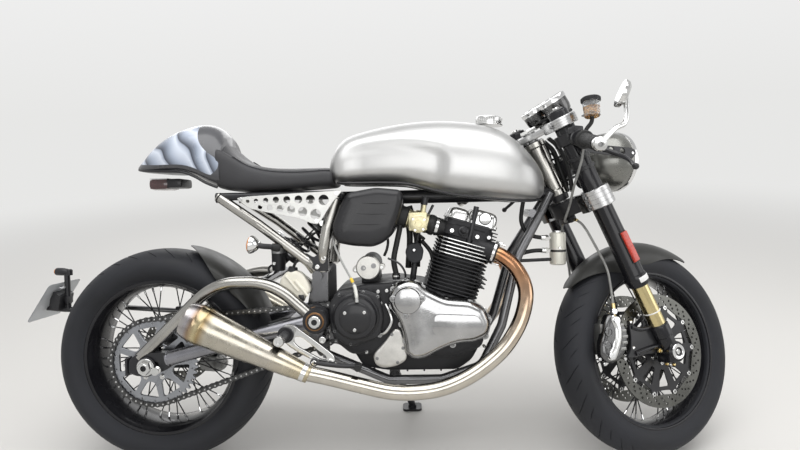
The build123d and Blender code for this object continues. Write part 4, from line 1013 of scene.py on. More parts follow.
# Tank: x, bottom, top, half width, height of the widest line
TANK = [(503, 834, 850, 40, 842), (506, 822, 872, 66, 846), (514, 813, 898, 84, 850),
    (530, 808, 924, 100, 856), (556, 806, 945, 112, 860), (600, 805, 959, 121, 864),
    (660, 804, 972, 129, 866), (730, 799, 982, 135, 866), (800, 780, 986, 140, 860),
    (870, 764, 983, 143, 852), (940, 756, 973, 143, 844), (1000, 750, 952, 138, 836),
    (1050, 746, 917, 123, 826), (1086, 747, 876, 98, 814), (1107, 754, 845, 72, 802),
    (1118, 766, 824, 45, 796), (1122, 781, 806, 20, 793)]


def knee_depth(x, z):
    """How deep the knee panel lies at a place on the side: its edge runs over the top and down in front."""
    front = 822 + 14 * sin((z - 800) / 60)
    over = 930 - 0.0011 * (x - 660) ** 2
    inside_front = smooth_step(18, -26, x - front)
    inside_top = smooth_step(10, -34, z - over)
    fade = smooth_step(520, 600, x)
    return 15 * inside_front * inside_top * fade


def make_tank():
    """Tank shell with its knee panels, and the seam along its lower edge."""
    tank = Shape("tank_alloy")
    rings = []
    steps = [503, 504.5, 506, 509, 514, 521, 530, 542, 556, 575]
    steps += [595 + 11 * i for i in range(42)]
    steps += [1064, 1074, 1083, 1091, 1098, 1104, 1109, 1113, 1117, 1120, 1122]
    for x in steps:
        bottom, top, half, middle = eased(TANK, x)
        ring = egg_ring(x, bottom, top, half, middle, 2.25, 3.2)
        for p in ring:
            side = abs(p.y) / max(half, 1)
            p.y -= (1 if p.y > 0 else -1) * knee_depth(x, p.z) * smooth_step(0.55, 0.95, side)
        rings.append(ring)
    tank.skin(rings)
    tank.piece("tank_shell", "chassis", BIKE, 60, ["fuel_tank"])
    seam = Shape("satin_black")
    lower_edge = []
    for x in [530 + 12 * i for i in range(48)]:
        bottom, top, half, middle = eased(TANK, x)
        lower_edge.append((x, half * 0.80, bottom + 3))
    for side in (-1, 1):
        seam.tube([(x, side * y, z) for x, y, z in lower_edge], 4, 8)
    seam.piece("tank_seam", "chassis", BIKE)


def make_cap():
    """Filler cap with a knurled edge."""
    cap = Shape("polished")
    at = Vector((968, 0, 972))
    up = Vector((0.07, 0, 1)).normalized()
    cap.turned(at, up, [(0, 41), (3, 41), (4, 39), (4, 36), (9, 36), (10, 37.5), (20, 37.5), (23, 36.5),
        (25, 33), (25.5, 26), (24, 25), (24, 0.1)], 72)
    for i in range(36):
        angle = 2 * pi * i / 36
        ridge = at + up * 11 + Vector((37.4 * cos(angle), 37.4 * sin(angle), 0))
        cap.rod(ridge, ridge + up * 8, 1.0, 6, 0.2)
    cap.use("satin_black").turned(at + up * 24, up, [(0, 6), (1.4, 5.4), (1.4, 0.1)], 20)
    cap.piece("filler_cap", "chassis", BIKE, 30, ["tank_cap"])


# Seat: x, bottom, top at the side, half width, top in the middle
SEAT = [(150, 824, 915, 111, 976), (175, 811, 916, 114, 962), (195, 801, 914, 116, 940),
    (222, 795, 900, 118, 912), (248, 792, 884, 119, 888), (280, 791, 864, 119, 872),
    (330, 791, 849, 118, 861), (390, 793, 843, 115, 858), (450, 796, 843, 111, 858),
    (495, 799, 846, 107, 858), (512, 801, 844, 103, 852), (519, 808, 838, 96, 842)]


def seat_ring(x, bottom, side_top, half, middle_top):
    """Across the seat: upright sides, a rounded shoulder, then a pad that rises in its middle."""
    right = []
    for share, height in ((0, 0), (0.45, 0), (0.78, 0.02), (0.92, 0.10), (0.985, 0.28), (1.0, 0.5),
            (0.985, 0.72), (0.955, 0.88), (0.90, 0.975), (0.83, 1.0)):
        right.append(Vector((x, -half * share, bottom + (side_top - bottom) * height)))
    for share, rise, dip in ((0.775, 0.0, 1.5), (0.755, 0.0, 6.0), (0.735, 0.05, 3.0), (0.70, 0.20, 1.0),
            (0.60, 0.55, 0), (0.45, 0.85, 0), (0.22, 0.98, 0), (0, 1.0, 0)):
        right.append(Vector((x, -half * share, side_top + (middle_top - side_top) * rise - dip)))
    left = [Vector((p.x, -p.y, p.z)) for p in reversed(right[1:-1])]
    return right + left


def make_seat():
    """Padded seat with piping."""
    seat = Shape("seat_leather")
    rings = []
    steps = [188, 196, 206, 216, 228, 240, 252, 266, 282, 300, 320, 345, 370, 395, 420, 445, 470,
        490, 502, 510, 515, 519]
    for x in steps:
        rings.append(seat_ring(x, *eased(SEAT, x)))
    seat.skin(rings)
    made = seat.piece("seat_pad", "chassis", BIKE, 70, ["seat"])
    swell = made.modifiers.new("round", "SUBSURF")
    swell.levels = swell.render_levels = 2
    piping = Shape("seat_leather")
    for side in (-1, 1):
        edge = [Vector((x, side * eased(SEAT, x)[2] * 0.86, eased(SEAT, x)[1] + 0.8))
            for x in range(240, 512, 6)]
        piping.tube(edge, 1.6, 8)
    piping.piece("seat_piping", "chassis", BIKE)


# Cowl: x, bottom, top, half width, height of the widest line
COWL = [
    (-71, 864, 870, 12, 867), (-66, 861, 877, 26, 867), (-52, 857, 890, 42, 868), (-20, 853, 924, 64, 872),
    (15, 851, 953, 81, 876), (55, 850, 974, 94, 878), (95, 845, 987, 103, 876), (130, 832, 993, 109, 868),
    (160, 815, 990, 114, 860), (188, 803, 975, 117, 852), (206, 797, 952, 118, 848),
]


def cowl_mask(x, z):
    """Signed distance, in mm, into the painted panel: over the dark lower rim and behind the seat's edge."""
    rim = z - (eased(COWL, min(206, max(-71, x)))[0] + 22 + 10 * smooth_step(40, 180, x))
    edge = spline_x(z) - x
    return min(rim, edge)


def spline_x(z):
    """X of the painted panel's front edge at a height: it leaves the crest and swings forward lower down."""
    rows = [(820, 150), (850, 196), (868, 204), (885, 196), (905, 168), (930, 146), (960, 134), (1000, 130)]
    return eased(rows, z)[0]


def make_cowl():
    """Tail hump with its painted panel, and the dark lip along its lower edge."""
    cowl = Shape("cowl_paint")
    rings = []
    steps = [-71, -69, -66, -61, -54, -45, -34, -22, -10, 4, 18, 33, 48, 64, 80, 96, 110, 123, 136, 148, 160,
        171, 181, 190, 198, 205]
    for x in steps:
        bottom, top, half, middle = eased(COWL, x)
        rings.append(egg_ring(x, bottom, top, half, middle, 2.1, 2.8, 96))
    cowl.skin(rings)
    cowl.marks["panel"] = [cowl_mask(p.x, p.z) for p in cowl.verts]
    cowl.piece("tail_hump", "chassis", BIKE, 50, ["tail_cowl"])
    lip = Shape("satin_black")
    for side in (-1, 1):
        edge = [(x, side * eased(COWL, x)[2] * 0.90, eased(COWL, x)[0] + 5) for x in range(-60, 200, 8)]
        lip.tube(edge, 4, 8)
    lip.piece("tail_lip", "chassis", BIKE)


PLATE = [(257, 773), (294, 777), (551, 788), (519, 752), (484, 698), (467, 698), (428, 715),
    (351, 730), (293, 744)]
PLATE_HOLES = [(289, 763, 5), (312, 764, 6), (339, 765, 7), (367, 766, 8.5), (397, 766, 9.5),
    (429, 766, 10.5), (462, 765, 12), (498, 763, 14), (323, 747, 6), (350, 745, 7.5), (378, 742, 9),
    (408, 738, 10.5), (440, 732, 12), (475, 724, 14)]


def make_side_plates():
    """Drilled plates under the seat, on bolts and spacers."""
    plates = Shape("plate_alloy")
    for side in (-1, 1):
        y = -134 if side < 0 else 137
        plates.use("plate_alloy").flat([softened(PLATE, 9, 4),
            *[ring_points((x, z), r, 28) for x, z, r in PLATE_HOLES]], y, 3, 0.5)
        for x, z in ((270, 769), (534, 780), (478, 706)):
            plates.use("polished").bolt((x, side * 137, z), (0, side, 0), 5.5, 3)
            plates.use("satin_black").rod((x, side * 134, z), (x, side * 112, z + 2), 4, 12)
    plates.piece("drilled_plates", "chassis", BIKE, 30, ["side_plates"])


make_tank()
make_cap()
make_seat()
make_cowl()
make_side_plates()

# Engine

CYLINDER_UP = Vector((sin(CYLINDER_LEAN), 0, cos(CYLINDER_LEAN)))
CYLINDER_AHEAD = Vector((cos(CYLINDER_LEAN), 0, -sin(CYLINDER_LEAN)))


def cylinder_point(ahead, y, height):
    """Place on the engine's top end: forward of the cylinder line, across, and above the crankcase."""
    return CYLINDER_BASE + CYLINDER_AHEAD * ahead + Vector((0, y, 0)) + CYLINDER_UP * height


def slab_outline(length, width, corner, shift=0.0, across=0.0, steps=5):
    """A rounded rectangle of (ahead, y) round the cylinders."""
    points = []
    for sx, sy, first in ((1, 1, 0), (-1, 1, 1), (-1, -1, 2), (1, -1, 3)):
        for k in range(steps + 1):
            angle = pi / 2 * (first + k / steps)
            points.append((shift + sx * (length / 2 - corner) + corner * cos(angle),
                across + sy * (width / 2 - corner) + corner * sin(angle)))
    return points


def slab(shape, low, high, length, width, corner, shift=0.0, across=0.0, edge=1.2):
    """A slab between two heights with softened edges."""
    rings = []
    for height, inset in ((low, edge), (low + edge, 0), (high - edge, 0), (high, edge)):
        ring = slab_outline(length - 2 * inset, width - 2 * inset, max(1, corner - inset), shift, across)
        rings.append([cylinder_point(a, y, height) for a, y in ring])
    shape.skin(rings)


def shrunk(ring, amount):
    """A closed outline of 2D points moved inward, kept smooth."""
    count = len(ring)
    area = sum(ring[i - 1].x * ring[i].y - ring[i].x * ring[i - 1].y for i in range(count))
    sign = 1 if area > 0 else -1
    moved = []
    for i in range(count):
        run = (ring[(i + 1) % count] - ring[i - 1]).normalized()
        moved.append(ring[i] + Vector((-run.y, run.x)) * amount * sign)
    return [p * 0.7 + (moved[i - 1] + moved[(i + 1) % count]) * 0.15 for i, p in enumerate(moved)]


def evened(outline, count):
    """A closed outline with its points at even steps."""
    points = [Vector(p) for p in outline]
    lengths = [(points[(i + 1) % len(points)] - points[i]).length for i in range(len(points))]
    total, even = sum(lengths), []
    walked, i = 0.0, 0
    for k in range(count):
        goal = total * k / count
        while walked + lengths[i] < goal:
            walked += lengths[i]
            i += 1
        even.append(points[i].lerp(points[(i + 1) % len(points)], (goal - walked) / max(lengths[i], 1e-6)))
    return even


def pillow(shape, outline, y, depth, side=-1, edge=16, steps=10, count=150, flat=0):
    """A cast cover in side view with a broad round edge, which rises from Y = y towards side."""
    ring = evened(softened(outline, 14, 6), count)
    fine = evened(softened(outline, 14, 6), count * 6)
    rim = KDTree(len(fine))
    for i, p in enumerate(fine):
        rim.insert((p.x, p.y, 0), i)
    rim.balance()
    area = sum(ring[i - 1].x * ring[i].y - ring[i].x * ring[i - 1].y for i in range(count))
    inward = 1 if area > 0 else -1
    spots = list(ring)
    for k in range(1, steps + 1):
        inset = edge * (1 - cos(pi / 2 * k / steps))
        for i in range(0, count, 1 if k < 3 else 2):
            run = (ring[(i + 1) % count] - ring[i - 1]).normalized()
            p = ring[i] + Vector((-run.y, run.x)) * inset * inward
            if rim.find((p.x, p.y, 0))[2] > inset * 0.97:
                spots.append(p)
    low_x, low_z = min(p.x for p in ring), min(p.y for p in ring)
    high_x, high_z = max(p.x for p in ring), max(p.y for p in ring)
    step = 5.0
    for i in range(int((high_x - low_x) / step) + 1):
        for j in range(int((high_z - low_z) / step) + 1):
            p = Vector((low_x + (i + 0.5 * (j % 2)) * step, low_z + j * step))
            if rim.find((p.x, p.y, 0))[2] > edge + 1.5:
                spots.append(p)
    found = delaunay_2d_cdt(spots, [], [list(range(count))], 1, 0.001)
    wall = max(0.5, depth - edge)
    top = []
    for p in found[0]:
        gap = rim.find((p.x, p.y, 0))[2]
        share = min(1.0, gap / edge)
        height = wall + edge * sqrt(max(0.0,
            1 - (1 - share) ** 2)) + flat * (1 - exp(-max(0.0, gap - edge) / 14))
        top.append(Vector((p.x, y + side * height, p.y)))
    shape.add(top, found[2])
    shape.add([Vector((p.x, y, p.y)) for p in ring] + [Vector((p.x, y + side * wall, p.y)) for p in ring],
        [(i, (i + 1) % count, count + (i + 1) % count, count + i)
        for i in range(count)] + [tuple(range(count))])


TIMING = [(668, 493), (685, 528), (722, 543), (752, 536), (775, 514), (823, 490), (889, 484), (930, 462),
    (948, 420), (940, 386), (902, 368), (860, 366), (827, 356), (796, 342), (768, 327), (736, 322),
    (713, 340), (707, 394), (694, 436), (676, 462)]


def make_top_end():
    """Fins, head and rocker boxes."""
    fins = Shape("cast_black")
    slab(fins, 0, 71.4, 118, 206, 30, 0)
    for i in range(7):
        height = 3 + i * FIN_STEP
        grow = 6 * smooth_step(0, 160, height)
        fins.use("cast_black")
        slab(fins, height, height + FIN_THICK, FIN_LENGTH + grow, FIN_WIDTH, FIN_CORNER, 2, 0, 0.7)
    fins.use("cast_black")
    for i in range(3):
        for y in (-22, 22):
            height = 30 + i * 13
            fins.box(cylinder_point(84, y, height), (26, 36, 3.2), 0.8, CYLINDER_TURN)
    fins.piece("barrel_fins", "chassis", BIKE, 30, ["cylinder_block"])

    head = Shape("cast_black")
    for i in range(8):
        height = 74.4 + i * FIN_STEP
        grow = 3 + 0.5 * i
        head.use("cast_black")
        slab(head, height, height + FIN_THICK, FIN_LENGTH + grow, FIN_WIDTH, FIN_CORNER, 2, 0, 0.7)
        if i > 2:
            # The top fins' edges are polished: a thin bright band stands on them
            head.use("polished")
            slab(head, height + 0.5, height + 3.1, 148.8 + grow, 240.8, 30.4, 2, 0, 0.3)
    head.use("cast_black")
    slab(head, 74, 160, 118, 206, 30, 0)
    slab(head, 158, 192, 136, 216, 26, 2)
    for side in (-1, 1):
        slab(head, 186, 206, 128, 96, 18, 0, side * 60)
        slab(head, 150, 168, 60, 60, 14, 60, side * 72)
        # Spark plug well with its cap, and the lead's boot
        plug = cylinder_point(-16, side * 112, 176)
        head.use("satin_black").turned(plug, (0.1, side * 1.0, 0.25),
            [(0, 13), (6, 13), (8, 9), (22, 8.5), (24, 6)], 20)
        head.use("polished").bolt(cylinder_point(26, side * 108, 172), (0, side, 0), 7, 7, "hex")
        head.use("polished").bolt(cylinder_point(-46, side * 108, 170), (0, side, 0), 7, 7, "hex")
        head.use("polished").bolt(cylinder_point(58, side * 104, 178), (0, side, 0.1), 6, 6, "hex")
        head.use("cast_black")
        for k in range(4):
            head.box(cylinder_point(64, side * 66, 166 + k * 9), (34, 66, 3), 0.8, CYLINDER_TURN)
        # Exhaust port
        head.rod((905, side * 84, 628), (972, side * 102, 604), 27, 32, 2)
        head.use("polished").turned((962, side * 99.5, 607.6), (67, side * 18, -24),
            [(0, 33), (1, 34), (7, 34), (8, 33), (8, 24)], 40)
        for turn in (-1, 1):
            stud = Vector((968, side * 101, 605)) + Vector((0.34, 0, 0.94)) * 28 * turn
            head.use("chrome").bolt(stud, (67, side * 18, -24), 5, 12, "hex")
        head.use("cast_black")
    head.use("satin_black").rod(cylinder_point(10, -104, 120), cylinder_point(2, -104, 252), 7.5, 18)
    head.piece("head_casting", "chassis", BIKE, 30, ["cylinder_head"])

    rockers = Shape("polished")
    for side in (-1, 1):
        for ahead, length, height, top in ((-36, 58, 204, 236), (34, 74, 204, 246)):
            rings = []
            for rise, inset in ((0, 0), (0.55, 1), (0.8, 4), (0.93, 9), (1.0, 18)):
                outline = slab_outline(length - 2 * inset, 88 - 2 * inset,
                    max(3, 16 - inset * 0.5), ahead, side * 62)
                rings.append([cylinder_point(a, y, height + (top - height) * rise) for a, y in outline])
            rockers.use("polished").skin(rings)
            rockers.use("satin_black")
            slab(rockers, 200, 204.5, length + 6, 95, 18, ahead, side * 62, 0.5)
            for along, across in ((-0.5, -1), (0.5, -1), (-0.5, 1), (0.5, 1)):
                at = cylinder_point(ahead + along * (length - 6), side * 62 + across * 45, 205)
                rockers.use("polished").bolt(at, CYLINDER_UP, 4, 6, "hex")
        cap = cylinder_point(34, side * 106, 226)
        rockers.use("polished").turned(cap - Vector((0, side * 6, 0)), (0, side, 0),
            [(0, 18), (6, 18), (9, 15), (10, 8), (10, 0.1)], 32)
    rockers.piece("rocker_boxes", "chassis", BIKE, 34, ["rocker_covers"])


CYLINDER_TURN = Matrix((CYLINDER_AHEAD, (0, 1, 0), CYLINDER_UP)).transposed()


def make_timing_cover():
    """Polished cover on the right with its round cap and screws."""
    cover = Shape("cover_alloy")
    pillow(cover, TIMING, -119, 48, -1, 26, 12, 170, 5)
    # Round cap with a thin lip and three screws
    at = Vector((722, -166, 488))
    cover.turned(at, (0, -1, 0),
        [(0, 41), (3, 41), (4, 40), (4.5, 37), (6, 36), (10, 34), (13, 24), (14, 10), (14.2, 0.1)], 64)
    for angle in (radians(8), radians(172), radians(262)):
        ear = wheel_point(at, 40, angle, -1)
        cover.turned(ear + Vector((0, 1, 0)), (0, -1, 0), [(0, 9), (6, 9), (7, 8), (7, 0.1)], 20)
        cover.use("grey_metal").bolt(ear + Vector((0, -5, 0)), (0, -1, 0), 5, 3)
        cover.use("cover_alloy")
    # Screws round the joint, in small bosses
    for x, z in ((684, 516), (722, 534), (762, 519), (826, 482), (889, 476), (940, 428), (930, 384),
            (842, 362), (744, 334), (716, 372), (704, 420), (680, 470)):
        cover.use("cover_alloy").turned((x, -119, z), (0, -1, 0),
            [(0, 10.5), (27, 10), (29, 9), (29, 0.1)], 20)
        cover.use("grey_metal").bolt((x, -147, z), (0, -1, 0), 5.2, 3.4)
    # A raised plain panel
    cover.use("cover_alloy")
    panel = [(800, 392), (906, 392), (922, 408), (922, 428), (906, 446), (800, 452), (786, 438), (786, 406)]
    ring = evened(softened(panel, 12, 5), 80)
    inner = ring
    for _ in range(3):
        inner = shrunk(inner, 1.0)
    cover.skin([[Vector((p.x, -168, p.y)) for p in ring], [Vector((p.x, -171.5, p.y)) for p in ring],
        [Vector((p.x, -173, p.y)) for p in inner]])
    cover.piece("timing_case", "chassis", BIKE, 40, ["timing_cover"])


def make_cases():
    """Crankcase, gearbox, clutch and primary covers with their screws."""
    case = Shape("cast_black")
    case_line = [(505, 465), (522, 510), (600, 525), (690, 530), (768, 517.6), (905, 475.7), (945, 420),
        (925, 345), (850, 318), (560, 330), (510, 372)]
    for side, depth in ((-1, 34), (1, 60)):
        pillow(case, case_line, side * (118 - depth), depth, side, 12, 6, 120)
    low = [(560, 335), (590, 285), (660, 272), (860, 272), (900, 300), (925, 345), (850, 380), (620, 380)]
    case.flat([softened(low, 14, 4)], 78, 156, 6)
    for k in range(6):
        case.box((620 + k * 48, 0, 274), (5, 150, 12), 1.5)
    # Rear wall between the covers and the starter's body
    case.flat([softened(case_line, 12, 4)], 60, 146, 2)
    case.use("cast_black").rod((613, 60, 572), (613, -100, 572), 30, 40, 2)
    case.box((615, 0, 538), (52, 118, 50), 4)
    case.use("cast_alloy").turned((613, -99, 572), (0, -1, 0),
        [(0, 31), (2, 34), (10, 34), (13, 31), (14, 0.1)], 56)
    for x in (600, 628):
        case.use("grey_metal").turned((x, -112, 574 + (x - 614) * 0.2), (0, -1, 0),
            [(0, 7.5), (1.6, 7), (1.6, 4), (0.6, 3.6), (0.6, 0.1)], 20)
    for x, z in ((577, 566), (650, 572)):
        case.use("polished").bolt((x, -98, z), (0, -1, 0), 6, 6)
        case.use("cast_alloy").rod((x, -70, z), (x, -98, z), 9, 16)
    spots = ((664, 508), (646, 474), (660, 336), (604, 338), (640, 506), (930, 350), (934, 452))
    case.screws("polished", spots, -118, -1, 5, 4)
    case.piece("engine_case", "chassis", BIKE, 34, ["crankcase"])

    clutch = Shape("satin_black")
    cover_line = [(503, 470), (524, 508), (600, 516), (645, 500), (655, 430), (640, 380),
        (560, 352), (508, 392)]
    pillow(clutch, cover_line, -118, 16, -1, 6, 5, 120)
    at = Vector((578, -130, 440))
    clutch.turned(at, (0, -1, 0), [(0, 66), (6, 66), (9, 63), (10, 60), (20, 59), (25, 56), (27, 50),
        (27, 44), (29, 42), (31, 34), (33, 26), (34, 12), (34, 0.1)], 72)
    for angle in (radians(150), radians(32), radians(268)):
        spot = wheel_point(at, 31, angle, -31)
        clutch.use("polished").bolt(spot, (0, -1, 0), 4.6, 3)
    spots = ((520, 470), (534, 500), (600, 507), (640, 494), (646, 388), (562, 364), (518, 400))
    clutch.screws("grey_metal", spots, -131, -1, 4.6, 3)
    clutch.use("satin_black").box((581, -150, 500), (16, 18, 22), 3)
    clutch.use("cast_black").turned((466, -102, 434), (0, -1, 0),
        [(0, 41), (16, 41), (22, 38), (24, 34), (24, 0.1)], 56)
    clutch.use("copper_ring").turned((466, -125, 434), (0, -1, 0),
        [(0, 32), (2, 34), (4, 32), (4, 21), (3, 20), (3, 0.1)], 56)
    clutch.use("satin_black").turned((466, -127, 434), (0, -1, 0), [(0, 22), (2, 22), (3, 20), (3, 0.1)], 40)
    clutch.use("polished").bolt((466, -129, 434), (0, -1, 0), 13.5, 9, "hex")
    clutch.piece("clutch_case", "chassis", BIKE, 34, ["clutch_cover"])

    pump = Shape("cast_alloy")
    plate = [(683, 404), (655, 366), (622, 332), (628, 304), (650, 294), (690, 300), (718, 318),
        (712, 360), (700, 402)]
    pillow(pump, plate, -118, 12, -1, 4, 4, 90)
    pump.screws("grey_metal", ((676, 388), (634, 322), (690, 310), (706, 350)), -129, -1, 4.6, 3)
    pump.use("polished").tube(spline([(660, -120, 470), (672, -132, 448), (676, -136, 424), (660, -134, 398),
        (640, -124, 386)]), 5, 14)
    pump.use("grey_metal").turned((640, -120, 386), (0.3, -0.8, 0.2), [(0, 9), (8, 9), (9, 7), (9, 0.1)], 6)
    pump.piece("oil_pump_plate", "chassis", BIKE, 34)

    primary = Shape("satin_black")
    primary_line = [(548, 385), (540, 430), (556, 480), (600, 508), (660, 518), (760, 500), (870, 486),
        (915, 462), (930, 425), (915, 380), (870, 348), (800, 336), (690, 330), (600, 345)]
    pillow(primary, primary_line, 118, 44, 1, 20, 10, 160, 2)
    primary.use("polished").turned((650, 160, 425), (0, 1, 0),
        [(0, 63), (4, 63), (7, 60), (9, 52), (10, 20), (10, 0.1)], 64)
    primary.turned((846, 158, 418), (0, 1, 0), [(0, 50), (5, 50), (8, 47), (9, 40), (9, 0.1)], 56)
    for centre, radius, count in (((650, 425), 55, 5), ((846, 418), 43, 3)):
        for i in range(count):
            x, z = around(centre, radius, 2 * pi * i / count + 0.4)
            primary.use("grey_metal").bolt((x, 166, z), (0, 1, 0), 5, 3.4)
    spots = ((556, 420), (570, 484), (640, 510), (750, 494), (860, 478), (918, 432), (890, 366), (800, 344),
        (700, 338), (600, 354))
    primary.screws("polished", spots, 146, 1, 5.4, 4)
    primary.piece("primary_case", "chassis", BIKE, 40, ["primary_cover"])


def make_intake():
    """Injectors with their linkage, and the ribbed side covers."""
    throttle = Shape("brass")
    for side in (-1, 1):
        low, high = Vector((798, side * 62, 684)), Vector((706, side * 62, 712))
        run = (high - low).normalized()
        throttle.use("hose_black").turned(low + run * -44, run, [(0, 20), (0, 25), (36, 25), (42, 24)], 40)
        throttle.use("polished").turned(low + run * -14, run, [(0, 25), (0, 27.4), (8, 27.4), (8, 25)], 40)
        throttle.use("hose_black").turned(low + run * -4, run,
            [(0, 27), (3, 29), (12, 29), (15, 27), (20, 27), (20, 20)], 40)
        throttle.use("zinc").turned(low + run * 16, run, [(0, 26), (2, 28), (8, 28), (10, 24), (22, 24),
            (24, 30), (40, 30), (42, 25), (54, 25), (58, 28), (62, 28), (62, 20)], 40)
        throttle.use("hose_black").turned(low + run * 76, run,
            [(0, 28), (4, 31), (20, 31), (24, 34), (30, 34), (30, 20)], 40)
        throttle.use("zinc").box(low + run * 46 + Vector((0, side * 22, 0)), (52, 30, 52), 5)
        throttle.turned(low + run * 44 + Vector((0, side * 36, -6)), (0, side, 0),
            [(0, 25), (5, 25), (7, 22), (7, 10), (12, 9), (12, 0.1)], 40)
        for turn in (0.6, 2.4, 4.2, 5.4):
            spot = low + run * 44 + Vector((20 * cos(turn), side * 42, 20 * sin(turn) - 6))
            throttle.use("polished").bolt(spot, (0, side, 0), 3.6, 3)
        throttle.use("zinc").rod(low + run * 30 + Vector((0, side * 26, 26)),
            low + run * 26 + Vector((0, side * 26, 52)), 7, 16)
        throttle.use("satin_black").rod(low + run * 26 + Vector((0, side * 26, 52)),
            low + run * 22 + Vector((0, side * 26, 74)), 9, 16)
    throttle.use("grey_metal").rod((756, 62, 697), (756, -62, 697), 6, 16)
    throttle.piece("injectors", "chassis", BIKE, 34, ["throttle_bodies"])

    covers = Shape("satin_black")
    line = [(560, 781), (536, 738), (517, 692), (518, 664), (532, 643), (574, 634), (628, 630), (656, 640),
            (686, 664), (706, 720), (716, 764), (708, 786), (640, 794)]
    for side in (-1, 1):
        pillow(covers, line, side * 60, 80, side, 22, 10, 140, 2)
        # Three pressed grooves
        for z, start, end in ((752, 606, 676), (724, 588, 664), (696, 574, 650)):
            groove = [Vector((x, side * 141.2, z - (x - start) * 0.04))
                for x in (start, (start + end) / 2, end)]
            covers.tube(groove, [1.2, 2.2, 1.2], 8)
    covers.piece("side_covers", "chassis", BIKE, 50, ["airbox"])


make_top_end()
make_timing_cover()
make_cases()
make_intake()

# Exhaust

# Middle line of a header: x, distance from the middle, z
HEADER = [(960, 98, 608), (984, 105, 598), (1016, 116, 570), (1038, 134, 528), (1040, 152, 484),
    (1020, 168, 424), (980, 180, 364), (926, 187, 316), (868, 190, 280), (806, 191, 256), (740, 192, 247),
    (670, 193, 250), (590, 197, 270), (510, 203, 293), (447, 208, 309)]


def make_exhaust():
    """Headers tinted by heat near the ports, and reverse-cone silencers with two weld bands."""
    for side, hand in ((-1, "right"), (1, "left")):
        pipe = Shape("header_steel")
        path = spline([(x, side * y, z) for x, y, z in HEADER], 8)
        pipe.tube(path, HEADER_R, HEADER_SIDES)
        total = sum((b - a).length for a, b in zip(path, path[1:]))
        walked, along = 0.0, []
        for i, p in enumerate(path):
            if i:
                walked += (p - path[i - 1]).length
            along += [walked / total] * HEADER_SIDES
        pipe.marks["warmth"] = along
        pipe.piece("header_" + hand, "chassis", BIKE, 50,
            ["header_pipes"] if side > 0 else ())
        can = Shape("can_steel")
        start = Vector((447, side * 208, 309))
        line = Vector((142, side * 214, 458)) - start
        profile = [(-14, 21.5), (-12, 23.5), (0, 23.5), (2, 24.5), (3, 24), (20, 26)]
        profile += [(20 + 265 * k / 12, 26 + 24.5 * (k / 12) ** 0.92) for k in range(1, 13)]
        profile += [(287, 51.6), (290, 52.2), (293, 51.4), (305, 51.2), (308, 51.2), (311, 52.2), (314, 51.2),
            (322, 49.6), (336, 46.4), (339, 45.6), (341, 44.6), (341, 42), (337, 41.2),
            (300, 36), (262, 33), (262, 0.1)]
        can.turned(start, line, profile, SILENCER_SIDES)
        can.marks["warmth"] = [min(1, max(0, place / SILENCER_LENGTH))
            for place, _ in profile for _ in range(SILENCER_SIDES)]
        can.piece("silencer_" + hand, "chassis", BIKE, 30, ["silencers"] if side > 0 else ())
        hanger = Shape("grey_metal")
        spot = start + line.normalized() * 250
        hanger.box(spot + Vector((14, -side * 34, -44)), (60, 6, 22), 2)
        hanger.use("polished").bolt(spot + Vector((0, -side * 30, -44)), (0, side, 0), 6, 4)
        clamp = start + line.normalized() * -4
        hanger.use("polished").turned(clamp, line, [(0, 25.2), (12, 25.2), (12.5, 24)], 40)
        hanger.piece("hanger_" + hand, "chassis", BIKE)


# Heat tints: place along the pipe and colour
HEADER_TINT = [
    (0.0, (0.42, 0.33, 0.18)), (0.03, (0.38, 0.18, 0.09)), (0.12, (0.50, 0.28, 0.16)),
    (0.24, (0.54, 0.42, 0.31)), (0.38, (0.56, 0.52, 0.45)), (1.0, (0.54, 0.51, 0.45)),
]
SILENCER_TINT = [
    (0.0, (0.46, 0.40, 0.28)), (0.3, (0.48, 0.45, 0.39)), (0.78, (0.47, 0.44, 0.37)),
    (0.835, (0.34, 0.25, 0.13)), (0.87, (0.56, 0.48, 0.29)), (0.915, (0.30, 0.21, 0.14)),
    (0.95, (0.36, 0.34, 0.35)), (1.0, (0.42, 0.40, 0.38)),
]
PAINT["header_steel"] = tinted_by("header_steel", "warmth", HEADER_TINT, 0.16)
PAINT["can_steel"] = tinted_by("can_steel", "warmth", SILENCER_TINT, 0.24)
make_exhaust()

# Frame, swingarm and the small parts on them

def weld(shape, at, direction, radius, size=2.2):
    """A weld bead: a rippled ring round a tube."""
    direction = Vector(direction).normalized()
    across = direction.orthogonal().normalized()
    over = direction.cross(across)
    path = []
    for i in range(72):
        angle = 2 * pi * i / 72
        ripple = 0.5 * (i % 3 == 0)
        path.append(Vector(at) +
            (across * cos(angle) + over * sin(angle)) * (radius + ripple) + direction * ripple)
    shape.tube(path, size, 8, loop=True)


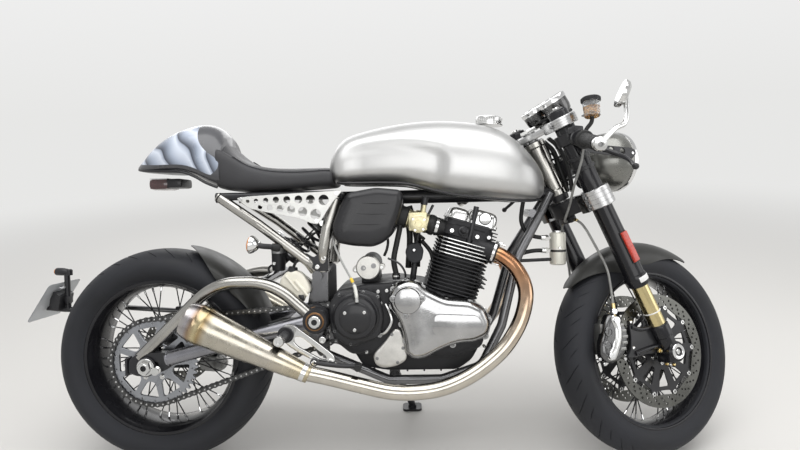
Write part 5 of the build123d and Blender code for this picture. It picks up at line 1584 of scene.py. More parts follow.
def make_rear_frame():
    """Bare steel tubes under clear coat, from the tail down to the pivot plates."""
    rear = Shape("bare_tube")
    for side in (-1, 1):
        y = side * 116
        slant = [(196, side * 102, 778), (310, y, 700), (448, y, 592), (460, side * 98, 567)]
        upright = [(528, side * 102, 770), (504, y, 690), (490, y, 620), (486, side * 98, 567)]
        rear.use("bare_tube").tube(bent(slant, 24, 4), 14, 32)
        rear.tube(bent(upright, 60, 4), 15.5, 32)
        rear.use("satin_black").rod((190, side * 102, 778), (540, side * 102, 778), 11, 28)
        weld(rear, (200, side * 102, 775), (114, side * 14, -78), 14)
        weld(rear, (528, side * 103, 765), (-28, side * 14, -70), 13)
        # Gusset between the two tubes at their foot, and its bolts
        gusset = [(430, 602), (468, 566), (504, 566), (504, 600), (484, 618), (462, 604), (440, 618)]
        rear.use("satin_black").flat([softened(gusset, 6, 4)], y + 5, 10, 1)
        for x, z in ((446, 600), (492, 602), (474, 578)):
            rear.use("polished").bolt((x, side * 122, z), (0, side, 0), 6.5, 5)
            rear.use("satin_black").turned((x, side * 120, z), (0, side, 0),
                [(0, 10), (2, 9.5), (2, 0.1)], 24)
    for x in (212, 430):
        rear.use("satin_black").rod((x, 102, 778), (x, -102, 778), 9, 24)
    # Battery tray under the seat
    rear.use("satin_black").box((330, 0, 772), (150, 150, 4), 1.5)
    rear.piece("rear_frame_tubes", "chassis", BIKE, 34, ["rear_frame"])


def make_swingarm():
    """Bent upper tubes, straight lower tubes, axle blocks and the pivot."""
    arm = Shape("bare_tube")
    for side in (-1, 1):
        y = side * 138
        arm.use("bare_tube").tube(bent([(-24, y, 336), (188, y, 540), (350, y, 540),
            (464, y, 436)], 170, 6), 17, 36)
        arm.use("dark_tube").tube([(52, y, 331.5), (120, y, 348.4), (300, y, 393.2), (464, y, 434)], 20, 36)
        weld(arm, (56, y, 332.5), (434, 0, 108), 19.6, 2)
        weld(arm, (450, y, 449), (1, 0, -0.91), 16, 2.4)
        # Axle block with its adjuster and the slot behind it
        block = [(-52, 298), (-50, 334), (-30, 348), (40, 354), (64, 346), (66, 312),
            (48, 302), (6, 288), (-30, 288)]
        slot = [(-26, 303), (30, 303), (34, 315), (30, 327), (-26, 327), (-30, 315)]
        arm.use("satin_black").flat([softened(block, 9, 5), softened(slot, 5, 4)], y + 15, 30, 2)
        arm.use("cast_black").box((-2, y, 315), (46, 34, 26), 2)
        arm.use("polished").rod((-72, y, 315), (-30, y, 315), 4, 16)
        arm.bolt((-56, y, 315), (-1, 0, 0), 8, 7, "hex")
        arm.use("satin_black").box((-58, y, 314), (7, 30, 48), 1.5)
        # Bobbin for a workshop stand
        arm.use("polished").turned((30, side * 152, 306), (0, side, 0),
            [(0, 7), (4, 11), (6, 11), (10, 7), (16, 7), (18, 11), (20, 11), (20, 0.1)], 28)
    # Cross tubes and pivot
    arm.use("dark_tube").rod((385, 136, 402), (385, -136, 402), 22, 36)
    arm.rod((322, 136, 540), (322, -136, 540), 14, 32)
    arm.use("cast_black").rod((470, 158, 434), (470, -158, 434), 20, 36)
    for side in (-1, 1):
        pivot = (470, side * 166, 434)
        arm.use("cast_black").turned((470, side * 118, 434), (0, side, 0),
            [(0, 20), (0, 33), (3, 34), (44, 34), (48, 32), (48, 20)], 56)
        arm.use("copper_ring").turned(pivot, (0, side, 0),
            [(-1, 25), (0.5, 25.5), (1.6, 24.5), (1.8, 20), (-1, 19)], 56)
        arm.use("cast_black").turned(pivot, (0, side, 0), [(0, 21), (4, 21), (5, 19), (5, 14)], 48)
        arm.use("polished").turned(pivot, (0, side, 0),
            [(0, 16.5), (8, 16.5), (9.5, 15), (9.5, 8), (3, 7.5), (3, 0.1)], 40)
    # Chain slider, rubber, on top of the arm in front of the wheel
    arm.use("hose_black").tube([(330, -107, 420), (372, -107, 428), (420, -107, 431)], [4, 7, 5], 12)
    arm.use("hose_black").rod((385, -120, 424), (385, -96, 424), 6, 20)
    arm.piece("swingarm_tubes", "chassis", BIKE, 34, ["swingarm"])


def make_rear_axle():
    """Rear spindle with washers, nuts and spacers."""
    axle = Shape("polished")
    axle.use("grey_metal").rod((0, 160, REAR_R), (0, -160, REAR_R), 12, 40)
    for side in (-1, 1):
        face = Vector((0, side * 157.5, REAR_R))
        out = Vector((0, side, 0))
        axle.use("cast_black").turned(face, out, [(-2, 12), (-2, 27), (2, 27), (3, 26), (3, 12)], 48)
        axle.use("polished").turned(face + out * 3, out,
            [(0, 12), (0, 24), (1.6, 24), (2.4, 23), (2.4, 12)], 56)
        axle.turned(face + out * 5, out,
            [(0, 0.1), (0, 20), (8.5, 20), (11, 18.5), (11, 12.5), (3, 12.5), (3, 0.1)], 6)
        axle.turned(face + out * 8, out,
            [(0, 0.1), (0, 12), (8, 12), (9, 11), (9, 8), (1, 7.4), (1, 0.1)], 48)
        axle.use("cast_black").turned(face + out * 9.4, out, [(0, 0.1), (0, 7.3), (0.2, 0.1)], 32)
    for low, high in ((-155, -120), (-88, -60), (72, 118)):
        axle.use("grey_metal").turned((0, low, REAR_R), (0, 1, 0),
            [(0, 12), (0, 16), (high - low, 16), (high - low, 12)], 40)
    axle.piece("rear_spindle", "chassis", BIKE, 34, ["rear_axle"])


def make_shock():
    """A damper with a wound spring and a separate reservoir on the right."""
    shock = Shape("satin_black")
    low = Vector((322, 0, 562))
    line = (Vector((478, 0, 700)) - low).normalized()
    across = Vector((0, 1, 0))
    over = line.cross(across)
    shock.use("cast_black").turned(low + line * 10, line,
        [(0, 13), (44, 13), (46, 30), (54, 31), (56, 28), (56, 12)], 48)
    shock.use("grey_metal").turned(low + line * 62, line, [(0, 26), (2, 27), (8, 27), (10, 26), (10, 12)], 48)
    shock.use("polished").rod(low + line * 40, low + line * 200, 8, 28)
    shock.use("grey_metal").turned(low + line * 176, line,
        [(0, 12), (0, 30), (6, 31), (10, 29), (10, 12)], 48)
    # The spring
    turns, start, end = 4.6, 70, 178
    wire = []
    for i in range(int(turns * 40) + 1):
        angle = 2 * pi * i / 40
        share = i / (turns * 40)
        wire.append(low + line * (start + (end - start) * share) +
            (across * cos(angle) + over * sin(angle)) * COIL_R)
    shock.use("gloss_black").tube(wire, COIL_WIRE_R, 14)
    for at in (low, low + line * 202):
        shock.use("cast_black").turned(at - across * 19, across, [(0, 7), (0, 15), (38, 15), (38, 7)], 40)
        shock.use("polished").turned(at - across * 21, across, [(0, 0.1), (0, 9), (42, 9), (42, 0.1)], 6)
    # Reservoir with a blue-grey band, its knob and the link to the damper
    foot = Vector((346, -40, 560))
    shock.use("cast_black").turned(foot, (0, 0, 1),
        [(0, 0.1), (0, 15), (3, 19), (20, 20), (52, 20), (52, 0.1)], 48)
    shock.use("grey_metal").turned(foot + Vector((0, 0, 52)), (0, 0, 1),
        [(0, 20.5), (18, 20.5), (20, 19), (20, 0.1)], 48)
    shock.use("polished").turned(foot + Vector((0, 0, 72)), (0, 0, 1),
        [(0, 17), (5, 17), (7, 15), (7, 0.1)], 40)
    shock.use("polished").bolt(foot + Vector((-8, -20, 24)), (0, -1, 0), 5, 4)
    shock.use("cast_black").rod((346, -6, 588), (346, -34, 596), 9, 24)
    shock.piece("shock_and_spring", "chassis", BIKE, 34, ["shock"])


def make_hugger():
    """A rear mudguard close round the tyre: a thin shell cut to a point at the top."""
    guard = Shape("carbon")
    rows, columns = 40, 30
    half_width, side_r, crown = 94, 298, 33
    outside, inside = [], []
    for i in range(rows + 1):
        share = i / rows
        angle = radians(23 + 54 * share)
        reach = min(1.0, 0.03 + (1 - share) * 2.2) * min(1.0, 0.75 + 0.8 * share)
        for store, grow in ((outside, 0.0), (inside, -2.6)):
            line = []
            for j in range(columns + 1):
                swing = (-1 + 2 * j / columns) * reach * radians(100)
                wide = sin(swing) if abs(swing) < pi / 2 else (1 if swing > 0 else -1)
                drop = cos(swing) if abs(swing) < pi / 2 else (pi / 2 - abs(swing)) * 1.1
                radius = side_r + (crown + grow) * max(drop, -0.2)
                line.append(wheel_point(REAR_AXLE, radius, angle, (half_width + grow) * wide))
            store.append(line)
    guard.shell(outside, inside)
    for side in (-1, 1):
        for angle in (27, 44):
            spot = wheel_point(REAR_AXLE, 306, radians(angle), side * 95)
            guard.use("polished").bolt(spot, (0, side, 0), 5, 3, "dome")
    guard.piece("hugger_shell", "chassis", BIKE, 44, ["rear_hugger"])


def make_bottle():
    """Catch bottle with its ribs, neck and hose."""
    bottle = Shape("cream")
    outline = [(386, 566), (368, 548), (363, 514), (372, 488), (394, 473), (414, 472), (430, 478), (436, 496),
        (452, 508), (446, 532), (430, 560), (408, 570)]
    pillow(bottle, outline, -94, 26, -1, 8, 7, 120, 0)
    bottle.use("cream").flat([softened(outline, 14, 5)], -94, 14, 4)
    for k in range(2):
        rib = Vector((384 + 26 * k, -121, 556 - 14 * k))
        bottle.tube([rib, rib + Vector((34, 0, -44))], [5, 4], 12)
    bottle.use("satin_black").turned((400, -106, 562), (0.2, 0, 1),
        [(0, 13), (14, 13), (16, 11), (16, 0.1)], 32)
    bottle.use("hose_black").tube(spline([(404, -106, 578), (412, -104, 592), (430, -100, 596),
        (448, -96, 586)]), 4, 12)
    bottle.use("satin_black").box((426, -118, 492), (16, 8, 18), 2)
    bottle.use("polished").bolt((402, -121, 478), (0, -1, 0), 5, 3)
    bottle.piece("overflow_bottle", "chassis", BIKE, 40, ["catch_bottle"])


def make_rearsets():
    """Foot rests on slotted plates, with their heel guards and levers."""
    rests = Shape("polished")
    for side in (-1, 1):
        face = side * 172
        plate = [(378, 398), (380, 420), (396, 432), (414, 430), (470, 388), (522, 346), (526, 326),
            (514, 314), (492, 318), (430, 352), (400, 372)]
        slot = [(418, 398), (436, 396), (500, 344), (502, 334), (486, 336), (424, 372), (414, 384)]
        rests.use("polished").flat([softened(plate, 12, 5), softened(slot, 7, 4)],
            side * 172 + (8 if side > 0 else 0), 8, 1.6)
        rests.use("satin_black").flat([softened([(480, 366), (480, 398), (498, 398), (504, 352)], 5,
            3)], side * 168 + 3, 6, 1)
        # Peg with ribs and a bright end
        peg = [(0, 13), (3, 15), (8, 15), (10, 11)]
        for k in range(12):
            peg += [(12 + k * 5.6, 10.5), (13.4 + k * 5.6, 12.4), (16 + k * 5.6, 12.4),
                (17.2 + k * 5.6, 10.5)]
        rests.use("satin_black").turned((394, face, 404), (0, side, 0), peg + [(80, 11), (80, 0.1)], 32)
        rests.use("polished").turned((394, face + side * 79, 404), (0, side, 0),
            [(0, 12), (2, 14), (8, 14), (11, 12), (11, 6), (9, 5), (9, 0.1)], 36)
        rests.use("satin_black").turned((394, face + side * 6, 404), (0, side, 0),
            [(0, 22), (6, 22), (8, 20), (8, 12)], 40)
        # Lever, pivot and toe piece
        lever = spline([(470, side * 188, 330), (505, side * 189, 324), (548, side * 191, 320),
            (588, side * 192, 320)], 5)
        rests.use("satin_black").tube(lever, [8, *[6] * (len(lever) - 2), 6.5], 16)
        rests.turned((470, side * 172, 330), (0, side, 0), [(0, 11), (18, 11), (20, 9), (20, 0.1)], 32)
        rests.use("hose_black").turned((588, side * 186, 320), (0, side, 0),
            [(0, 7), (1, 9.5), (28, 9.5), (30, 8), (30, 0.1)], 28)
        rests.use("polished").bolt((470, side * 191, 330), (0, side, 0), 7, 3)
        for x, z in ((512, 328), (492, 388)):
            rests.use("polished").turned((x, face + side * 8, z), (0, side, 0),
                [(0, 9), (3, 9), (4, 8), (4, 5), (1.5, 4), (1.5, 0.1)], 28)
        rests.use("grey_metal").rod((492, side * 176, 388), (488, side * 92, 388), 7, 24)
        # Link rod to the brake or gear shaft
        if side < 0:
            rests.use("polished").rod((300, -150, 396), (386, -166, 412), 3.2, 12)
            rests.use("grey_metal").box((386, -168, 412), (14, 12, 10), 2)
        else:
            rests.use("polished").rod((478, 184, 336), (560, 176, 392), 3.2, 12)
    rests.piece("foot_rests", "chassis", BIKE, 34, ["rearsets"])


def make_canister():
    """Canister beside the front down tubes, with its bracket and unions."""
    can = Shape("can_silver")
    foot = Vector((1158, -30, 562))
    profile = [(0, 0.1), (0, 19), (3, 22.5), (8, CANISTER_R), (86, CANISTER_R),
        (91, 22.4), (94, 19), (94, 0.1)]
    can.turned(foot, (0, 0, 1), profile, 56)
    can.use("polished").turned(foot + Vector((0, 0, 94)), (0, 0, 1), [(0, 9), (4, 9), (5, 7.5), (5, 0.1)], 6)
    can.use("satin_black").turned(foot + Vector((0, 0, 38)), (0, 0, 1),
        [(0, CANISTER_R), (0, 24), (6, 24), (6, CANISTER_R)], 56)
    can.use("satin_black").tube([(1158, -30, 578), (1100, -46, 578), (1036, -62, 578)], 5, 14)
    for z in (603, 640):
        can.use("polished").rod((1146, -30, z), (1132, -30, z), 6.5, 20)
        can.use("polished").turned((1134, -30, z), (-1, 0, 0), [(0, 8), (8, 8), (8, 5)], 6)
    can.use("polished").bolt((1158, -53, 612), (0, -1, 0), 4, 5)
    can.piece("oil_can", "chassis", BIKE, 34, ["oil_canister"])


def make_rear_caliper():
    """Rear caliper on the left with its carrier."""
    caliper = Shape("caliper")
    outline = [(66, 236), (58, 252), (62, 276), (84, 294), (112, 294), (136, 280), (148, 262),
        (140, 242), (118, 232)]
    pillow(caliper, outline, 71, 13, 1, 6, 5, 90, 0)
    caliper.use("caliper").flat([softened(outline, 9, 4)], 72, 4, 1)
    caliper.flat([softened([(70, 244), (66, 270), (88, 288), (128, 282), (142, 262),
        (120, 238)], 8, 4)], 60, 14, 2)
    caliper.flat([softened([(112, 240), (104, 268), (122, 290), (146, 266)], 6, 3)], 84, 38, 2)
    for x, z in ((84, 262), (118, 262)):
        caliper.turned((x, 84, z), (0, 1, 0), [(0, 15), (2, 15), (3, 13), (3, 9), (1.5, 8), (1.5, 0.1)], 36)
    caliper.screws("polished", ((74, 284), (134, 276), (130, 246)), 84, 1, 5.5, 6)
    caliper.use("cast_black").rod((120, 80, 280), (128, 122, 322), 8, 24)
    caliper.use("cast_black").flat([softened([(10, 292), (10, 338), (60, 330), (120, 300), (112, 276),
        (60, 290)], 8, 4)], 72, 8, 1.5)
    caliper.piece("rear_caliper_body", "chassis", BIKE, 34, ["rear_caliper"])


def make_lamps():
    """Smoked tail lamp under the tail, and round chrome indicators with amber glasses."""
    lamps = Shape("lens_smoke")
    lamps.use("satin_black").box((34, 0, 822), (66, 86, 28), 9)
    lamps.use("lens_smoke").box((0, 0, 820), (58, 92, 33), 13)
    lamps.use("lens_red").box((-12, 0, 819), (30, 76, 18), 6)
    lamps.use("chrome").box((0, 0, 836), (52, 86, 3), 1.2)
    for side in (-1, 1):
        face = Vector((296, side * 150, 646))
        back = Vector((1, 0, -0.16)).normalized()
        lamps.use("chrome").turned(face, back,
            [(2, 23), (0, 24), (1, 25), (5, 25), (12, 22), (20, 15), (25, 8), (26, 0.1)], 56)
        lamps.use("lens_amber").turned(face, back, [(3, 23.4), (-3, 21), (-7, 14), (-8.5, 0.1)], 48)
        lamps.use("satin_black").tube(spline([(316, side * 150, 643), (332, side * 146, 640),
            (350, side * 134, 637), (372, side * 124, 632)], 6), 7.5, 20)
        lamps.use("hose_black").turned((352, side * 134, 637), (20, side * -10, -5),
            [(0, 10), (6, 11), (18, 11), (22, 9), (22, 0.1)], 28)
        lamps.use("chrome").bolt((322, side * 150, 650), (0.2, 0, 1), 4, 3)
    lamps.piece("rear_lights", "chassis", BIKE, 34, ["rear_lamps"])


def make_plate():
    """The arm low on the left with a blank plate, its lamp and a small indicator."""
    plate = Shape("satin_black")
    arm = bent([(-14, 106, 420), (-260, 106, 440), (-350, 60, 438), (-415, 60, 445)], 60, 8)
    plate.use("grey_metal").tube(arm[:2], 8, 24)
    plate.use("satin_black").tube(arm[1:], 8, 24)
    plate.use("grey_metal").tube([(-14, 106, 420), (-120, 106, 428.6), (-206, 106, 435.6),
        (-222, 106, 436.9)], [8.2, 8.2, 8.2, 8], 24)
    plate.use("satin_black").rod((-16, 106, 420), (-12, 126, 352), 8, 24)
    plate.box((-14, 110, 424), (26, 22, 22), 4)
    # Blank plate: a pale sheet with rounded corners across the bike, low at the back
    high, low = Vector((-366, 0, 528)), Vector((-436, 0, 412))
    fall = (low - high).normalized()
    out = Vector((-fall.z, 0, fall.x))
    outline = softened([(-8, 0), (150, 0), (150, 135), (-8, 135)], 12, 5)
    for lift, store in ((0, []), (1.6, [])):
        store += [high + Vector((0, a, 0)) + fall * b +
            out * (lift + 5 * smooth_step(60, 0, b)) for a, b in outline]
        plate.use("pale_plate").add(store, [tuple(range(len(store)))])
    for a, b in ((16, 26), (126, 26)):
        plate.use("polished").bolt(high + Vector((0, a, 0)) + fall * b + out * -2, -out, 5, 3, "dome")
    # Holder in front of it, with the lamp above
    plate.use("satin_black").skin([
        [Vector((-360, y, 440 + 6 * k)), Vector((-388, y, 452)), Vector((-384, y, 478)),
            Vector((-372, y, 500)), Vector((-352, y, 486))]
        for k, y in enumerate((26, 60, 96))])
    plate.rod((-350, 62, 438), (-350, 62, 556), 8.5, 24)
    plate.box((-348, 62, 470), (14, 26, 22), 4)
    plate.turned((-342, 62, 557), (-1, 0, 0.05),
        [(0, 7), (6, 10), (18, 12), (38, 12), (42, 10), (42, 0.1)], 36)
    plate.use("lens_amber").turned((-383, 62, 559), (-1, 0, 0.05), [(0, 11), (3, 9), (4.4, 0.1)], 32)
    plate.use("satin_black").turned((-342, 62, 557), (0, 0, 1), [(-10, 9), (6, 9), (9, 6), (9, 0.1)], 28)
    plate.use("lens_clear").box((-358, 60, 510), (14, 30, 5), 1.5)
    plate.piece("plate_arm", "chassis", BIKE, 34, ["plate_carrier"])


# Dark hoses in the gap behind the cylinder: start, middle, end and radius
WIRING_HOSES = [
    ((716, -30, 736), (730, -26, 660), (724, -20, 560), 9),
    ((764, -34, 640), (790, -44, 606), (800, -46, 560), 6),
    ((706, -62, 700), (738, -60, 672), (772, -44, 644), 5),
    ((728, 10, 740), (752, 4, 650), (748, 0, 560), 11),
]


def make_wiring():
    """Black box, breather hose and leads between the engine and the airbox."""
    wiring = Shape("satin_black")
    cover = [(716, 612), (722, 588), (742, 574), (764, 586), (770, 616), (756, 636), (728, 634)]
    wiring.use("crackle_black").flat([softened(cover, 8, 5)], -40, 34, 4)
    wiring.use("satin_black").rod((744, -56, 580), (736, -56, 528), 9, 20)
    wiring.use("polished").bolt((742, -76, 616), (0, -1, 0), 4, 3)
    for y, shift in ((-40, 0), (-62, 8), (-20, -8)):
        wiring.use("wire").tube(spline([(748, y, 632), (752 + shift, y, 672), (776, y + 6, 700),
            (800, y + 12, 742)], 8), 3.4, 10)
    hose = [(700, -70, 736), (704, -74, 690), (694, -78, 640), (684, -80, 590), (690, -80, 548)]
    wiring.use("hose_black").tube(spline(hose, 8), 8, 20)
    wiring.use("hose_black").tube(spline([(664, -60, 660), (668, -64, 640), (664, -66, 618),
        (656, -64, 600)], 8), 4, 14)
    for start, middle, end, size in WIRING_HOSES:
        wiring.use("hose_black").tube(spline([start, middle, end], 12), size, 16)
    wiring.use("wire").tube(spline([(712, -84, 520), (716, -96, 552), (700, -98, 580),
        (668, -96, 596)], 8), 3, 10)
    wiring.use("satin_black").rod((690, -80, 552), (690, -80, 534), 11, 24)
    wiring.use("polished").turned((690, -80, 546), (0, 0, -1), [(0, 8), (0, 11.6), (4, 11.6), (4, 8)], 24)
    wiring.piece("wiring_and_breather", "chassis", BIKE, 34)


for maker in (make_rear_frame, make_swingarm, make_rear_axle, make_shock, make_hugger, make_bottle,
        make_rearsets, make_canister, make_rear_caliper, make_lamps, make_plate, make_wiring):
    maker()

# Fork, drawn straight ahead

def make_fork_legs():
    """Outer tubes with caps and reflector, lower legs with lugs, and the front spindle."""
    outers = Shape("gloss_black")
    for side in (-1, 1):
        y = side * FORK_HALF
        foot = fork_point(525, FORK_OFFSET, y)
        outers.use("gloss_black").turned(foot, STEER_UP, [(0, 25), (0, 30.5), (3, 31.5), (26, 31.5),
            (30, 29.5), (33, 28.4), (300, 28), (531, 28), (533, 27)], 48)
        # Dust seal, blank white label, cap with its adjuster
        outers.use("hose_black").turned(foot, STEER_UP,
            [(-5, 23.6), (-5, 26), (-1, 28), (2, 28), (2, 23.6)], 40)
        label = []
        for k in range(13):
            angle = radians(-36 + 72 * k / 12) + (-pi / 2 if side < 0 else pi / 2) + 0.12
            label.append((cos(angle), sin(angle)))
        rows = []
        for along in (8, 9, 22, 23):
            radius = 31.6 if along in (8, 23) else 31.9
            rows.append([foot + STEER_UP * along + STEER_FORWARD * c * radius +
                Vector((0, s * radius, 0)) for c, s in label])
        count = len(label)
        outers.use("label_white").add([p for row in rows for p in row],
            [(r * count + i, r * count + i + 1, (r + 1) * count + i + 1, (r + 1) * count + i)
                for r in range(3) for i in range(count - 1)])
        top = fork_point(1056, FORK_OFFSET, y)
        outers.use("gloss_black").turned(top, STEER_UP,
            [(0, 27.5), (1, 26.5), (5, 26), (6, 25), (6, 0.1)], 48)
        outers.use("grey_metal").turned(top, STEER_UP, [(5.5, 20), (9, 20), (10, 18.5), (10, 0.1)], 6)
        outers.use("polished").turned(top, STEER_UP, [(9.5, 9), (14, 9), (15, 8), (15, 0.1)], 24)
        # Reflector on the outside of the leg
        if side < 0:
            reflector_foot = fork_point(592, FORK_OFFSET, y) - Vector((0, 29.5, 0))
            centre = reflector_foot + STEER_UP * 45
            outers.use("satin_black").box(centre + Vector((0, 2, 0)), (25, 7, 94), 3, FORK_TURN)
            outers.use("lens_red").box(centre - Vector((0, 3.2, 0)), (22, 6, 90), 2.6, FORK_TURN)
            outers.use("lens_red").box(centre - Vector((0, 5.4, 0)) - STEER_UP * 22,
                (19, 4, 44), 1.8, FORK_TURN)
    outers.piece("fork_tubes", "steering", FORK, 34, ["fork_outers"])

    lowers = Shape("slider")
    for side in (-1, 1):
        y = side * FORK_HALF
        lowers.use("slider").turned(fork_point(394, FORK_OFFSET, y), STEER_UP, [(0, 22.8), (132, 22.8)], 48)
        lowers.use("label_white").turned(fork_point(436, FORK_OFFSET, y), STEER_UP,
            [(0, 22.8), (0.6, 24), (3, 24), (3.6, 22.8)], 40)
        lowers.use("gloss_black").turned(fork_point(360, FORK_OFFSET, y), STEER_UP, [
            (0, 24), (4, 27.5), (34, 27.5), (38, 26.5), (40, 24.5), (40, 22.8)], 48)
        # Axle lug, its pinch bolts and the bridge to the caliper
        lug = [fork_point(AXLE_ALONG - 4, FORK_OFFSET, y), fork_point(AXLE_ALONG + 30, FORK_OFFSET, y),
               fork_point(364, FORK_OFFSET, y)]
        lowers.tube(lug, [24.5, 25.5, 24.5], 32)
        lowers.turned(FRONT_AXLE + Vector((0, y - 25, 0)), (0, 1, 0),
            [(0, 14), (0, 27), (1.5, 28.5), (48.5, 28.5), (50, 27), (50, 14)], 48)
        for up in (-1, 1):
            pinch = FRONT_AXLE + Vector((0, y + 12 * up, 0)) - STEER_FORWARD * 18 - STEER_UP * 30
            lowers.use("brass").bolt(pinch, -STEER_FORWARD, 5, 5)
            lowers.use("gloss_black")
        lowers.box(FRONT_AXLE + Vector((-20, y, 0)) - STEER_UP * 18, (34, 46, 26), 4)
        arm_y = side * 92
        # Broad cast arm from the axle lug to both caliper bolts
        arms = [softened([(1289, 384), (1322, 372), (1356, 372), (1398, 372), (1412, 336), (1396, 296),
            (1340, 298), (1300, 292), (1270, 292), (1288, 316), (1292, 350)], 9, 4)]
        lowers.use("satin_black").flat(arms, arm_y + 5, 10, 2.4)
        lowers.use("gloss_black").tube(spline([(1300, side * 96, 302), (1344, side * 98, 312),
            (1392, side * 98, 318)], 6), 7, 16)
        lowers.tube(spline([(1296, side * 96, 374), (1330, side * 98, 366),
            (1388, side * 98, 374)], 6), 6, 16)
    lowers.piece("fork_legs", "steering", FORK, 34, ["fork_lowers"])

    axle = Shape("polished")
    for side in (-1, 1):
        end = FRONT_AXLE + Vector((0, side * 128.4, 0))
        axle.use("chrome").turned(end, (0, side, 0),
            [(-6, 14), (-6, 20), (-4, 21.5), (3, 21.5), (5, 20), (5, 14), (4, 12.4), (-1, 12)], 48)
        axle.use("satin_black").turned(end - Vector((0, side * 2, 0)), (0, side, 0),
            [(0, 12.2), (1, 12.2), (1, 0.1)], 32)
        axle.use("polished").turned(end - Vector((0, side * 1, 0)), (0, side, 0),
            [(0, 7.5), (3, 7.5), (4, 6.4), (4, 0.1)], 6)
        axle.use("brass").bolt(FRONT_AXLE + Vector((-41, side * 102, 4)), (0, side, 0), 7, 7, "hex")
    axle.use("grey_metal").turned(FRONT_AXLE + Vector((0, -126, 0)), (0, 1, 0), [(0, 11.9), (252, 11.9)], 40)
    axle.use("machined").turned(FRONT_AXLE + Vector((0, -77.5, 0)), (0, 1, 0),
        [(0, 12), (0, 19), (14, 19), (14, 12)], 40)
    axle.turned(FRONT_AXLE + Vector((0, 67, 0)), (0, 1, 0), [(0, 12), (0, 19), (10, 19), (10, 12)], 40)
    axle.piece("front_spindle", "steering", FORK, 34, ["front_axle"])


def make_yokes():
    """Billet yokes with split clamps round the tubes and their pinch bolts."""
    yokes = Shape("machined")
    for low, high, clamp_r in ((1012, 1040, 42), (768, 822, 41)):
        web = [(-30, -26), (-30, 26), (2, 66), (FORK_OFFSET - 26, 96), (FORK_OFFSET + 16, 84),
            (FORK_OFFSET - 2, 44), (30, 0), (FORK_OFFSET - 2, -44), (FORK_OFFSET + 16, -84),
            (FORK_OFFSET - 26, -96), (2, -66)]
        yokes.use("machined" if low > 900 else "cast_black")
        yokes.flat([softened(web, 14, 5)], 0, high - low - 10, 2.5,
            Matrix.Translation(fork_point((low + high) / 2)) @ FORK_TURN.to_4x4())
        for side in (-1, 1):
            yokes.use("machined").turned(fork_point(low, FORK_OFFSET, side * FORK_HALF), STEER_UP,
                [(0, FORK_TUBE_R + 0.3), (0, clamp_r - 2), (2, clamp_r), (high - low - 2, clamp_r),
                (high - low, clamp_r - 2), (high - low, FORK_TUBE_R + 0.3)], 64)
            # Rear clamp ears with bolts
            ear = fork_point((low + high) / 2, FORK_OFFSET - clamp_r + 2, side * (FORK_HALF - 12))
            yokes.use("machined" if low > 900 else "dark_chrome").box(ear, (22, 30, high - low), 3, FORK_TURN)
            for share in ((0.28, 0.72) if high - low > 40 else (0.5,)):
                spot = fork_point(low + (high - low) * share, FORK_OFFSET - clamp_r - 2,
                    side * (FORK_HALF + 3))
                yokes.use("grey_metal").bolt(spot, (0, side, 0), 5.5, 5)
                yokes.use("machined")
            # Turned rings round the outside of the clamp
            for k in range(3):
                groove = fork_point(low + (high - low) * (0.25 + 0.25 * k), FORK_OFFSET, side * FORK_HALF)
                yokes.use("grey_metal").turned(groove, STEER_UP,
                    [(0, clamp_r - 1), (0.4, clamp_r + 0.25), (1.2, clamp_r + 0.25), (1.6, clamp_r - 1)], 64)
                yokes.use("machined")
    top = fork_point(1040)
    yokes.use("polished").turned(top, STEER_UP,
        [(0, 8.2), (0, 26), (2, 27), (9, 27), (11, 25), (11, 16), (8, 15), (8, 8.2)], 6)
    yokes.use("grey_metal").turned(fork_point(780), STEER_UP, [(0, 14.9), (262, 14.9)], 40)
    yokes.use("satin_black").turned(fork_point(822), STEER_UP,
        [(0, 15), (0, 24), (8, 25.5), (19, 25.5), (19, 15)], 48)
    yokes.turned(fork_point(1010), STEER_UP, [(0, 15), (0, 25.5), (1, 26), (1.6, 25), (1.6, 15)], 48)
    yokes.piece("billet_yokes", "steering", FORK, 34, ["yokes", "lower_yoke"])


CALIPER = [(1231, 418), (1262, 402), (1284, 376), (1288, 351), (1278, 316), (1258, 292), (1228, 282),
    (1204, 284), (1190, 304), (1190, 334), (1204, 362), (1214, 394)]
CALIPER_RIB = [(1234, 414), (1252, 404), (1263, 374), (1259, 342), (1244, 312), (1228, 288), (1207, 290),
    (1202, 306), (1220, 322), (1234, 346), (1238, 372), (1228, 398)]


